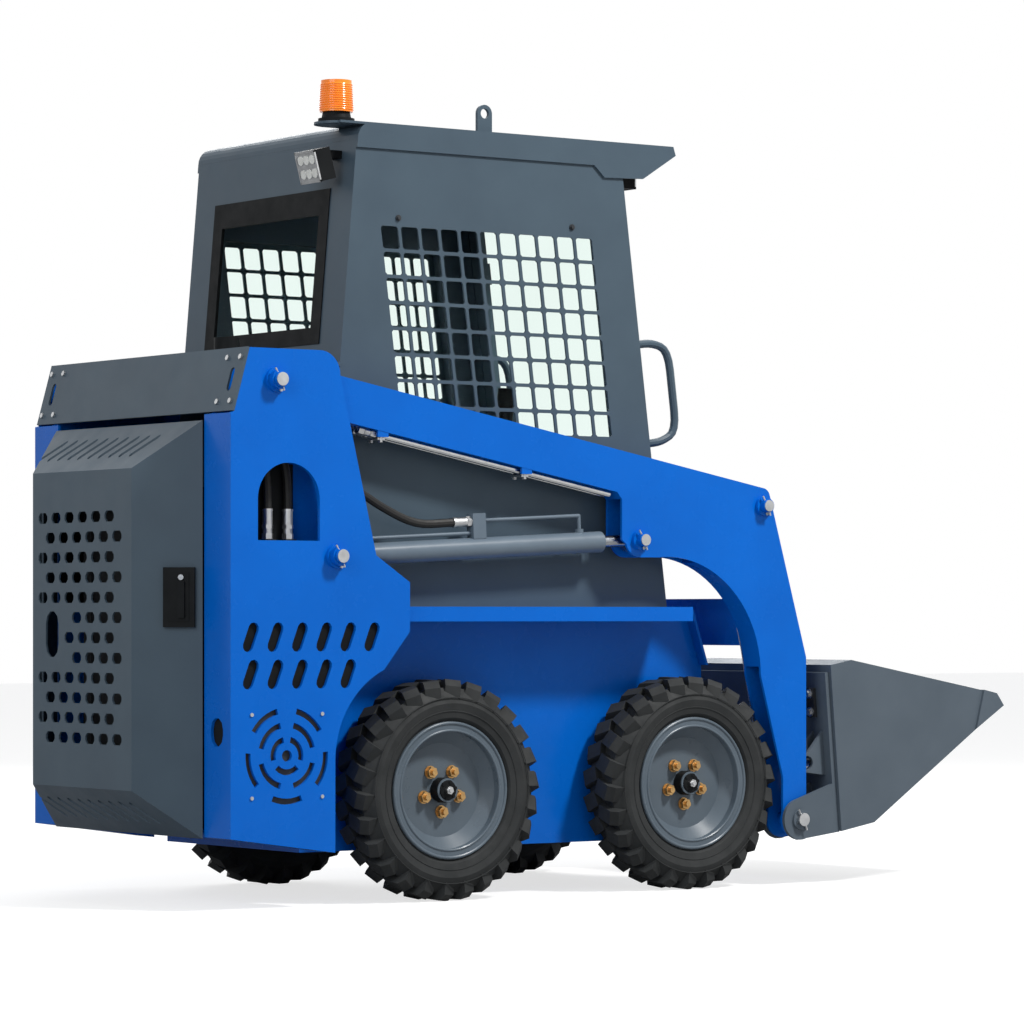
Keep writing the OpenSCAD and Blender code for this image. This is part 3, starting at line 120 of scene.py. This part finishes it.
BLUE = surface("blue_paint", (0.001, 0.108, 0.50), (0.001, 0.122, 0.55), (0.22, 0.30), 5.0, coat=0.04,
               bump=0.03, bump_scale=90.0, shine=0.12)
GREY = surface("grey_paint", (0.052, 0.078, 0.104), (0.060, 0.090, 0.118), (0.32, 0.42), 6.0, bump=0.05,
               bump_scale=220.0, shine=0.2)
BUCKET_GREY = surface("bucket_grey", (0.076, 0.098, 0.122), (0.088, 0.112, 0.138), (0.38, 0.5), 6.0, bump=0.06,
                      bump_scale=200.0, shine=0.2)
PLASTIC = surface("black_plastic", (0.006, 0.007, 0.008), (0.010, 0.011, 0.012), (0.45, 0.6), 12.0, bump=0.1,
                  bump_scale=500.0, shine=0.08)
RUBBER = surface("tyre_rubber", (0.016, 0.018, 0.019), (0.026, 0.028, 0.029), (0.6, 0.8), 14.0, bump=0.12,
                 bump_scale=160.0, shine=0.25)
HOSE = surface("hose_rubber", (0.010, 0.010, 0.010), (0.018, 0.018, 0.018), (0.45, 0.6), 20.0)
STEEL = surface("bright_steel", (0.52, 0.53, 0.53), (0.66, 0.67, 0.67), (0.16, 0.28), 30.0, metallic=1.0)
ROD = surface("rod_steel", (0.30, 0.32, 0.35), (0.38, 0.40, 0.43), (0.18, 0.28), 30.0, metallic=1.0)
ZINC = surface("zinc_steel", (0.48, 0.49, 0.50), (0.62, 0.63, 0.64), (0.28, 0.42), 40.0, metallic=1.0)
BRASS = surface("brass_nut", (0.48, 0.29, 0.12), (0.60, 0.38, 0.16), (0.3, 0.45), 40.0, metallic=1.0)
RIM = surface("rim_grey", (0.082, 0.108, 0.134), (0.098, 0.126, 0.154), (0.26, 0.36), 8.0, bump=0.04)
DARK = surface("dark_metal", (0.018, 0.020, 0.023), (0.030, 0.033, 0.037), (0.42, 0.58), 9.0)
BARREL = surface("barrel_grey", (0.105, 0.140, 0.178), (0.122, 0.160, 0.200), (0.28, 0.38), 9.0)
SEAT = surface("seat_cover", (0.010, 0.010, 0.011), (0.018, 0.018, 0.019), (0.5, 0.68), 18.0, bump=0.2,
               bump_scale=420.0)


def glass(name, tint, rough):
    m, tree, b = new_material(name)
    pale = [min(1, c * 1.03) for c in tint]
    color = ramp(tree, noise(tree, 3.0), [(0.3, (*tint, 1)), (0.7, (*pale, 1))])
    tree.links.new(color, b.inputs["Base Color"])
    b.inputs["Roughness"].default_value = rough
    b.inputs["Transmission Weight"].default_value = 1.0
    b.inputs["IOR"].default_value = 1.02
    b.inputs["Specular IOR Level"].default_value = 0.5
    return m


GLASS = glass("tinted_glass", (0.90, 0.96, 0.935), 0.02)
AMBER, amber_tree, amber = new_material("amber_lens")
amber_color = ramp(amber_tree, noise(amber_tree, 12.0),
                   [(0.3, (0.80, 0.17, 0.004, 1)), (0.7, (0.92, 0.24, 0.008, 1))])
amber_tree.links.new(amber_color, amber.inputs["Base Color"])
amber.inputs["Roughness"].default_value = 0.16
amber.inputs["Emission Color"].default_value = (1.0, 0.25, 0.01, 1)
amber.inputs["Emission Strength"].default_value = 0.12
LED = surface("led_white", (0.66, 0.66, 0.62), (0.78, 0.78, 0.74), (0.1, 0.2), 60.0)

NODE_MATERIALS = {
    BLUE: ["chassis_tub", "fenders", "tower_right", "tower_left", "boom_arm_right", "boom_arm_left",
           "boom_cross_member", "pivot_pins", "boom_pins"],
    GREY: ["rear_top_plate", "engine_deck", "cab_side_right", "cab_side_left", "cab_rear_wall", "cab_roof",
           "cab_front_frame", "lifting_eyes", "grab_handles", "engine_door", "cab_door"],
    BUCKET_GREY: ["coupler", "bucket"],
    RIM: ["rim_front_right", "rim_front_left", "rim_rear_right", "rim_rear_left"],
    DARK: ["axle_housings", "engine_block", "radiator", "door_hinges", "side_screens", "latch_levers"],
    BARREL: ["lift_barrel_right", "lift_barrel_left", "tilt_barrel_right", "tilt_barrel_left"],
    ROD: ["lift_rod_right", "lift_rod_left", "tilt_rod_right", "tilt_rod_left"],
    STEEL: ["boom_pipes"],
    PLASTIC: ["filler_cap", "cab_floor", "control_levers", "beacon_base", "work_lamps", "door_latch"],
    HOSE: ["tower_hoses", "lift_hose_right", "lift_hose_left"],
    RUBBER: ["tyre_front_right", "tyre_front_left", "tyre_rear_right", "tyre_rear_left"],
    SEAT: ["seat"],
    GLASS: ["cab_glass", "cab_door_glass"],
    AMBER: ["beacon_lens"],
}
for material, names in NODE_MATERIALS.items():
    for name in names:
        nodes[name].data.materials.clear()
        nodes[name].data.materials.append(material)


# Small parts that ride on the bodies
class Bag:
    """Collects simple shapes of one material on one body into one mesh."""

    def __init__(self, name, body, material, slot):
        self.name, self.body, self.material, self.slot = name, body, material, slot
        self.verts, self.faces = [], []

    def add(self, verts, faces):
        base = len(self.verts)
        self.verts += [tuple(v) for v in verts]
        self.faces += [tuple(base + i for i in f) for f in faces]

    def disc(self, p, axis, r, h, sides=24, r2=None, turn=0.0):
        """Cylinder, cone or nut from p along axis, in machine millimetres."""
        axis = Vector(axis).normalized()
        u = axis.orthogonal().normalized()
        w = axis.cross(u)
        r2 = r if r2 is None else r2
        pts = []
        for d, rr in ((0, r), (h, r2)):
            for k in range(sides):
                a = 2 * math.pi * k / sides + turn
                pts.append(at(*(Vector(p) + axis * d + rr * (math.cos(a) * u + math.sin(a) * w))))
        faces = [(k, (k + 1) % sides, sides + (k + 1) % sides, sides + k) for k in range(sides)]
        faces += [tuple(range(sides - 1, -1, -1)), tuple(range(sides, 2 * sides))]
        self.add(pts, faces)

    def block(self, m, low, high):
        """Box between two corners, placed by the matrix m, in machine millimetres."""
        pts = [at(*(m @ Vector((x, y, z))))
               for x in (low[0], high[0]) for y in (low[1], high[1]) for z in (low[2], high[2])]
        self.add(pts, [(0, 1, 3, 2), (4, 6, 7, 5), (0, 4, 5, 1), (2, 3, 7, 6), (0, 2, 6, 4), (1, 5, 7, 3)])

    def ring(self, p, axis, r, tube, sides=72, around=8):
        """Round ring about p, in machine millimetres."""
        axis = Vector(axis).normalized()
        u = axis.orthogonal().normalized()
        w = axis.cross(u)
        pts = []
        for k in range(sides):
            a = 2 * math.pi * k / sides
            out_dir = math.cos(a) * u + math.sin(a) * w
            for j in range(around):
                b = 2 * math.pi * j / around
                pts.append(at(*(Vector(p) + out_dir * (r + tube * math.cos(b)) + axis * tube * math.sin(b))))
        faces = [(k * around + j, (k + 1) % sides * around + j, (k + 1) % sides * around + (j + 1) % around,
                  k * around + (j + 1) % around) for k in range(sides) for j in range(around)]
        self.add(pts, faces)

    def done(self):
        """Make the mesh and let it ride on its body."""
        mesh = bpy.data.meshes.new(self.name)
        mesh.from_pydata(self.verts, [], self.faces)
        mesh.validate()
        mesh.polygons.foreach_set("use_smooth", [True] * len(mesh.polygons))
        mesh.set_sharp_from_angle(angle=math.radians(35))
        mesh.materials.append(self.material)
        o = bpy.data.objects.new(self.name, mesh)
        bpy.context.collection.objects.link(o)
        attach(o, self.body)
        return o


IDENTITY = Matrix.Identity(4)
PIVOT, LIFT_BASE = (-548, 1326), (-368, 886)
LIFT_PIN, TILT_TOP, FOOT = (603, 937), (1023, 1034), (1142, 179)
SIDES = (-1, 1)

bolts = Bag("chassis_bolts", "chassis", ZINC, "bright_steel")
cab_bolts = Bag("cab_bolts", "chassis", DARK, "dark_metal")
plugs = Bag("flange_plugs", "chassis", PLASTIC, "black_plastic")
boom_bolts = Bag("boom_bolts", "boom", ZINC, "bright_steel")
for side in SIDES:
    axis = (0, side, 0)
    for x, z in (PIVOT, LIFT_BASE):
        bolts.disc((x, side * (TOWER_Y + 31.5), z), axis, 17, 3)
        bolts.disc((x + 8, side * (TOWER_Y + 9), z - 25), axis, 6, 5, 6)
        bolts.disc((x - 8, side * (TOWER_Y + 24), z + 15), (-0.5, 0, 0.85), 2.6, 15, 10)
        bolts.disc((x + 6, side * (TOWER_Y + 24), z - 16), (0.3, 0, -0.95), 2.6, 13, 10)
    for x, z in (LIFT_PIN, TILT_TOP):
        boom_bolts.disc((x, side * (ARM_Y + 25.5), z), axis, 15.5, 3)
        boom_bolts.disc((x + 4, side * (ARM_Y + 10), z - 21.5), axis, 5, 5, 6)
        boom_bolts.disc((x - 8, side * (ARM_Y + 19), z + 13), (-0.5, 0, 0.85), 2.6, 15, 10)
        boom_bolts.disc((x + 6, side * (ARM_Y + 19), z - 14), (0.3, 0, -0.95), 2.6, 13, 10)
    for dx in (-104, 104):
        for dz in (-104, 104):
            bolts.disc((-515 + dx, side * TOWER_Y, 385 + dz), axis, 5, 3, 12)
    for x, z in ((-107, 1762), (448, 1768)):
        cab_bolts.disc((x, side * 390, z), axis, 8, 3, 16)
        cab_bolts.disc((x, side * 393, z), axis, 5.5, 4, 6)
    plugs.disc((-680 + WALL, side * 435, 445), (1, 0, 0), 38, 2, 32)
    lean = math.atan2(45, 160)
    plate = Matrix.Translation((-669, 0, 1244)) @ Matrix.Rotation(lean, 4, "Y")
    for v in (25, 140):
        for y in (side * 480, side * 418):
            spot = plate @ Vector((-6, y, v))
            bolts.disc(spot, plate.to_3x3() @ Vector((-1, 0, 0)), 7.5, 5, 6)
bolts.done()
cab_bolts.done()
plugs.done()
boom_bolts.done()

foot_pins = Bag("foot_pins", "bucket", ZINC, "bright_steel")
washers = Bag("foot_washers", "bucket", BUCKET_GREY, "grey_paint")
for side in SIDES:
    axis = (0, side, 0)
    washers.disc((FOOT[0], side * 500.2, FOOT[1]), axis, 28, 6, 32)
    foot_pins.disc((FOOT[0], side * 506, FOOT[1]), axis, 18, 12, 32)
    foot_pins.disc((FOOT[0] - 9, side * 512, FOOT[1] + 16), (-0.5, 0, 0.85), 2.6, 14, 10)
    foot_pins.disc((FOOT[0] + 9, side * 512, FOOT[1] - 16), (0.3, 0, -0.95), 2.6, 14, 10)
foot_pins.done()
washers.done()

# Links with bolts behind the coupler plate
links = Bag("coupler_links", "bucket", DARK, "dark_metal")
link_bolts = Bag("link_bolts", "bucket", ZINC, "bright_steel")
bucket_frame = Matrix.Translation((1281, 0, 127)) @ Matrix.Rotation(-BUCKET_LEAN, 4, "Y")
back_dir = bucket_frame.to_3x3() @ Vector((-1, 0, 0))
for side in SIDES:
    lo, hi = sorted((side * 425, side * 455))
    links.block(bucket_frame, (-24, lo, 332), (-14.4, hi, 412))
    for z in (347, 397):
        link_bolts.disc(bucket_frame @ Vector((-24, side * 440, z)), back_dir, 13, 4, 24)
        link_bolts.disc(bucket_frame @ Vector((-28, side * 440, z)), back_dir, 9, 8, 6)
links.done()
link_bolts.done()

# Painted shade: thin black sheets behind the slots of the towers, in the service windows and along the engine
# bay, standing in for the shade inside
shade_sheet = Bag("painted_shade_sheets", "chassis", PLASTIC, "black_plastic")
for side in SIDES:
    lo, hi = sorted((side * 487.8, side * 489.6))
    for z, count in ((682, 6), (589, 5)):
        for k in range(count):
            x = -621 + 72.2 * k
            shade_sheet.block(IDENTITY, (x - 30, lo, z - 42), (x + 30, hi, z + 42))
    lo, hi = sorted((side * 395.6, side * 397.6))
    shade_sheet.block(IDENTITY, (-671, lo, 300), (-440, hi, 1170))
    lo, hi = sorted((side * 408.3, side * 409.6))
    shade_sheet.block(IDENTITY, (-606, lo, 926), (-440, hi, 1118))
shade_sheet.done()

# Wheels: brass nuts, black hub cap and sidewall rings
for end, x in (("front", WHEELBASE), ("rear", 0.0)):
    for word, side in (("right", -1), ("left", 1)):
        body = "wheel_%s_%s" % (end, word)
        axis = (0, side, 0)
        face = TYRE_MID_Y + 14.5
        nuts = Bag("nuts_%s_%s" % (end, word), body, BRASS, "bright_steel")
        cap = Bag("hub_cap_%s_%s" % (end, word), body, PLASTIC, "black_plastic")
        rings = Bag("sidewall_%s_%s" % (end, word), body, RUBBER, "tyre_rubber")
        beads = Bag("rim_beads_%s_%s" % (end, word), body, RIM, "grey_paint")
        hub = Bag("hub_nut_%s_%s" % (end, word), body, ZINC, "bright_steel")
        for k in range(5):
            a = math.radians(-90 - 72 * k)
            px, pz = x + 57 * math.cos(a), AXLE_Z + 57 * math.sin(a)
            nuts.disc((px, side * face, pz), axis, 17, 3, 24)
            nuts.disc((px, side * (face + 2), pz), axis, 15, 14, 6)
            nuts.disc((px, side * (face + 16), pz), axis, 7.5, 9, 16)
        cap.disc((x, side * face, AXLE_Z), axis, 33, 30, 12)
        cap.disc((x, side * (face + 30), AXLE_Z), axis, 29, 7, 32, 24)
        for k in range(6):
            a = math.radians(60 * k + 15)
            cap.disc((x + 22 * math.cos(a), side * (face + 30), AXLE_Z + 22 * math.sin(a)), axis, 5, 9, 6)
        hub.disc((x, side * (face + 36), AXLE_Z), axis, 11, 10, 6)
        hub.disc((x, side * (face + 46), AXLE_Z), axis, 6, 6, 16)
        for r, y, t in ((173.5, 472.5, 4.5), (154.5, 472.5, 3.5)):
            beads.ring((x, side * y, AXLE_Z), axis, r, t, 96, 10)
        for r, out, t in ((240, 72.3, 1.4), (205, 68.4, 1.6)):
            rings.ring((x, side * (TYRE_MID_Y + out), AXLE_Z), axis, r, t, 96, 6)
        nuts.done()
        cap.done()
        hub.done()
        beads.done()
        rings.done()

# Beacon: fine rings around the lens and a rounded top
BEACON_X, BEACON_Y = -258, -330
UP = (0, 0, 1)
ribs = Bag("beacon_rings", "chassis", AMBER, "amber_lens")
for k in range(12):
    ribs.ring((BEACON_X, BEACON_Y, 2036 + 5.8 * k), UP, 42.8 - 0.25 * k, 2.0, 64, 8)
ribs.disc((BEACON_X, BEACON_Y, 2101), UP, 41.5, 4, 64, 39)
ribs.disc((BEACON_X, BEACON_Y, 2105), UP, 39, 3, 64, 33)
ribs.done()

# Work lamps
lamp_glow = Bag("lamp_lenses", "chassis", LED, "bright_steel")
lamp_rim = Bag("lamp_rims", "chassis", ZINC, "bright_steel")
lamp_face = Bag("lamp_faces", "chassis", ZINC, "bright_steel")
rear_lamp = Matrix.Translation((-304, -304, 1893)) @ Matrix.Rotation(math.radians(-15), 4, "Y")
lamp_places = [(rear_lamp, -1)]
lamp_places += [(Matrix.Translation((702, y, 1935)), 1) for y in (-255, 255)]
for m, way in lamp_places:
    lo, hi = sorted((way * 23, way * 27))
    lamp_rim.block(m, (lo, -47, -42), (hi, 47, -36))
    lamp_rim.block(m, (lo, -47, 36), (hi, 47, 42))
    lamp_rim.block(m, (lo, -47, -42), (hi, -42, 42))
    lamp_rim.block(m, (lo, 42, -42), (hi, 47, 42))
    out_dir = m.to_3x3() @ Vector((way, 0, 0))
    lo, hi = sorted((way * 22.8, way * 24))
    lamp_face.block(m, (lo, -44, -39), (hi, 44, 39))
    for y in (-27, 0, 27):
        for z in (-18, 18):
            lamp_glow.disc(m @ Vector((way * 24, y, z)), out_dir, 12, 2.5, 24)
lamp_glow.done()
lamp_face.done()
lamp_rim.done()

# Window seals
seals = Bag("window_seals", "chassis", PLASTIC, "black_plastic")
rear = Matrix.Translation((-341, 0, 759)) @ Matrix.Rotation(REAR_LEAN, 4, "Y")
low, high = (1450 - 759) / math.cos(REAR_LEAN), (1825 - 759) / math.cos(REAR_LEAN)
for y0, y1, z0, z1 in ((-285, 285, low - 14, low + 30), (-285, 285, high - 52, high + 14),
                       (-285, -240, low + 30, high - 52), (240, 285, low + 30, high - 52)):
    seals.block(rear, (-3, y0, z0), (5.5, y1, z1))
seals.done()

# Pipe clamps and hose fittings
clamps = Bag("pipe_clamps", "boom", ZINC, "bright_steel")
tabs = Bag("clamp_tabs", "boom", BLUE, "blue_paint")
beam_dir = (math.cos(BEAM_SLOPE), 0, -math.sin(BEAM_SLOPE))


def beam_low(x):
    """Height of the lower edge of the arm's straight beam."""
    return PIVOT[1] - 57 / math.cos(BEAM_SLOPE) - (x - PIVOT[0]) * math.tan(BEAM_SLOPE)


for side in SIDES:
    for x in (-215, 235):
        z = beam_low(x)
        lo, hi = sorted((side * 424, side * 474))
        clamps.block(IDENTITY, (x - 11, lo, z - 21), (x + 11, hi, z - 15))
        for y in (427, 471):
            clamps.disc((x, side * y, z - 27), (0, 0, 1), 6, 24, 6)
        lo, hi = sorted((side * 476, side * 484))
        tabs.block(IDENTITY, (x - 16, lo, z - 14), (x + 16, hi, z + 6))
    for y in (435, 461):
        for x, r, n in ((-280, 12.5, 6), (-262, 10.5, 20), (-244, 12.5, 6)):
            clamps.disc((x, side * y, beam_low(x) - 8.3), beam_dir, r, 16, n)
clamps.done()
tabs.done()

fittings = Bag("tower_fittings", "chassis", ZINC, "bright_steel")
for side in SIDES:
    for x in (-524, -464):
        for z, r, h, n in ((929, 15, 14, 6), (943, 12.6, 12, 20), (955, 14.5, 10, 6), (965, 13, 34, 20),
                           (999, 14, 6, 20)):
            fittings.disc((x, side * 422, z), (0, 0, 1), r, h, n)
fittings.done()
lift = Matrix.Translation((-368, 0, 886)) @ Matrix.Rotation(math.radians(-3.0066), 4, "Y")
for word, side in (("right", -1), ("left", 1)):
    ends = Bag("hose_ends_" + word, "lift_barrel_" + word, ZINC, "bright_steel")
    along = lift.to_3x3() @ Vector((-1, 0, 0))
    for x, r, h, n in ((449.6, 14.5, 14, 6), (435, 12.8, 34, 20), (402, 13.6, 8, 20)):
        ends.disc(lift @ Vector((x, side * ARM_MID_Y, 70)), along, r, h, n)
    ends.done()

# Engine door latch: paddle and lock
latch = Bag("latch_paddle", "engine_door", PLASTIC, "black_plastic")
lock = Bag("latch_lock", "engine_door", ROD, "bright_steel")
bevel = math.atan2(119, 136)
place = Matrix.Translation((-753, -314.5, 782)) @ Matrix.Rotation(-bevel, 4, "Z")
place = place @ Matrix.Translation((32, 0, 0))
latch.block(place, (-2, -20, -52), (15, -12, 40))
latch.block(place, (-26, -14, -60), (26, -12, 60))
lock.disc(place @ Vector((6, -12.2, 50)), place.to_3x3() @ Vector((0, -1, 0)), 7, 5, 20)
latch.done()
lock.done()


# Seat: crowned cushions on a base, in place of the plain block
def cushion(name, m, low, high, soft, crown, channels):
    """Closed cushion on its low z face: crowned, pulled in between its corners, with sewn channels."""
    half = [(b - a) / 2 for a, b in zip(low, high)]
    mid = Vector([(a + b) / 2 for a, b in zip(low, high)])
    n = 28
    spots, verts, faces = {}, [], []

    def vert(i, j, k):
        if (i, j, k) not in spots:
            p = Vector([(2 * c / n - 1) * h for c, h in zip((i, j, k), half)])
            core = Vector([max(-(h - soft), min(h - soft, c)) for c, h in zip(p, half)])
            d = p - core
            q = core + d.normalized() * soft if d.length else core
            u, v, w = (c / h for c, h in zip(p, half))
            up = (w + 1) / 2
            q.x -= 0.035 * half[0] * u * (1 - v * v)
            q.y -= 0.035 * half[1] * v * (1 - u * u)
            q.z += crown * up * (1 - u * u) * (1 - v * v)
            for c in channels:
                q.z -= 7 * up * max(0, w) * math.exp(-((abs(q.y) - c) / 7) ** 2) * (1 - u ** 6)
            seam = math.exp(-((q.z - 0.25 * half[2]) / 4) ** 2) * (1 - abs(w) ** 4)
            q.x -= 3 * seam * u
            q.y -= 3 * seam * v
            if w <= -1:
                q.z = -half[2]
            spots[(i, j, k)] = len(verts)
            verts.append(at(*(m @ (mid + q))))
        return spots[(i, j, k)]

    for a in range(n):
        for b in range(n):
            for fixed, flip in ((0, True), (n, False)):
                for ring in (((fixed, a, b), (fixed, a + 1, b), (fixed, a + 1, b + 1), (fixed, a, b + 1)),
                             ((b, fixed, a), (b, fixed, a + 1), (b + 1, fixed, a + 1), (b + 1, fixed, a)),
                             ((a, b, fixed), (a + 1, b, fixed), (a + 1, b + 1, fixed), (a, b + 1, fixed))):
                    face = [vert(*c) for c in ring]
                    faces.append(tuple(reversed(face)) if flip else tuple(face))
    mesh = bpy.data.meshes.new(name)
    mesh.from_pydata(verts, [], faces)
    mesh.polygons.foreach_set("use_smooth", [True] * len(mesh.polygons))
    mesh.materials.append(SEAT)
    o = bpy.data.objects.new(name, mesh)
    bpy.context.collection.objects.link(o)
    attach(o, "chassis")
    return o


base = Bag("seat_base", "chassis", PLASTIC, "black_plastic")
base.block(IDENTITY, (-70, -170, 767), (330, 170, 858))
seat_base = base.done()
seat_pan = cushion("seat_cushion", IDENTITY, (-90, -230, 858), (390, 230, 960), 40, 26, (95,))
back = Matrix.Translation((-110, 0, 920)) @ Matrix.Rotation(math.radians(-9), 4, "Y") @ Matrix(
    ((0, 0, 1, 0), (0, 1, 0, 0), (-1, 0, 0, 0), (0, 0, 0, 1)))
seat_back = cushion("seat_back", back, (-560, -225, 0), (-30, 225, 95), 38, 22, (95,))
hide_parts("seat")

# Stage: pale floor, soft light and a white backdrop
FLOOR, floor_tree, floor_b = new_material("floor_pale")
floor_color = ramp(floor_tree, noise(floor_tree, 2.0), [(0.3, grey(0.34)), (0.7, grey(0.36))])
floor_tree.links.new(floor_color, floor_b.inputs["Base Color"])
floor_b.inputs["Roughness"].default_value = 0.9
floor_b.inputs["Emission Color"].default_value = (1, 1, 1, 1)
floor_seen = floor_tree.nodes.new("ShaderNodeLightPath")
floor_glow = floor_tree.nodes.new("ShaderNodeMath")
floor_glow.operation = "MULTIPLY"
floor_glow.inputs[1].default_value = 0.70
floor_tree.links.new(floor_seen.outputs["Is Camera Ray"], floor_glow.inputs[0])
floor_tree.links.new(floor_glow.outputs[0], floor_b.inputs["Emission Strength"])
bpy.ops.mesh.primitive_plane_add(size=60, location=(0, 0, -0.001))
floor = bpy.context.object
floor.name = "floor"
floor.data.materials.append(FLOOR)

world = bpy.data.worlds.new("studio")
bpy.context.scene.world = world
world.use_nodes = True
wt = world.node_tree
wt.nodes.clear()
out = wt.nodes.new("ShaderNodeOutputWorld")
path = wt.nodes.new("ShaderNodeLightPath")
soft = wt.nodes.new("ShaderNodeBackground")
soft.inputs["Color"].default_value = (0.92, 0.95, 1.0, 1)
soft.inputs["Strength"].default_value = 0.40
white = wt.nodes.new("ShaderNodeBackground")
white.inputs["Color"].default_value = (1, 1, 1, 1)
white.inputs["Strength"].default_value = 1.0
through = wt.nodes.new("ShaderNodeMath")
through.operation = "MAXIMUM"
wt.links.new(path.outputs["Is Transmission Ray"], through.inputs[0])
wt.links.new(path.outputs["Is Glossy Ray"], through.inputs[1])
seen = wt.nodes.new("ShaderNodeMath")
seen.operation = "MAXIMUM"
wt.links.new(path.outputs["Is Camera Ray"], seen.inputs[0])
wt.links.new(through.outputs[0], seen.inputs[1])
mix = wt.nodes.new("ShaderNodeMixShader")
wt.links.new(seen.outputs[0], mix.inputs[0])
wt.links.new(soft.outputs[0], mix.inputs[1])
wt.links.new(white.outputs[0], mix.inputs[2])
wt.links.new(mix.outputs[0], out.inputs["Surface"])


def area_light(name, place, target, size, power, color=(1, 1, 1)):
    data = bpy.data.lights.new(name, "AREA")
    data.size = size
    data.energy = power
    data.color = color
    o = bpy.data.objects.new(name, data)
    bpy.context.collection.objects.link(o)
    o.location = place
    o.rotation_euler = (Vector(target) - Vector(place)).to_track_quat("-Z", "Y").to_euler()
    return o


area_light("key", (2.2, -5.0, 7.0), (0, 0, 0.8), 1.0, 720, (1.0, 0.98, 0.95))
area_light("fill", (-6.5, -3.0, 3.5), (0, 0, 0.8), 4.0, 160, (0.95, 0.98, 1.0))
area_light("top", (0.0, 1.0, 7.0), (0, 0, 0.8), 5.0, 90)
area_light("left_fill", (3.5, 6.5, 4.5), (0, 0, 0.8), 4.0, 170)

# Camera fitted to the photograph
cam_data = bpy.data.cameras.new("camera")
cam_data.sensor_width = 36.0
cam_data.lens = 145.85
cam_data.shift_y = 0.1
cam_data.clip_end = 200.0
cam = bpy.data.objects.new("camera", cam_data)
bpy.context.collection.objects.link(cam)
cam.location = (-6.0604 - ORIGIN_X / 1000, -9.2922, 0.7390)
cam.rotation_euler = (math.radians(90), 0, math.radians(54.655 - 90))
bpy.context.scene.camera = cam

bpy.context.scene.view_settings.view_transform = "Standard"
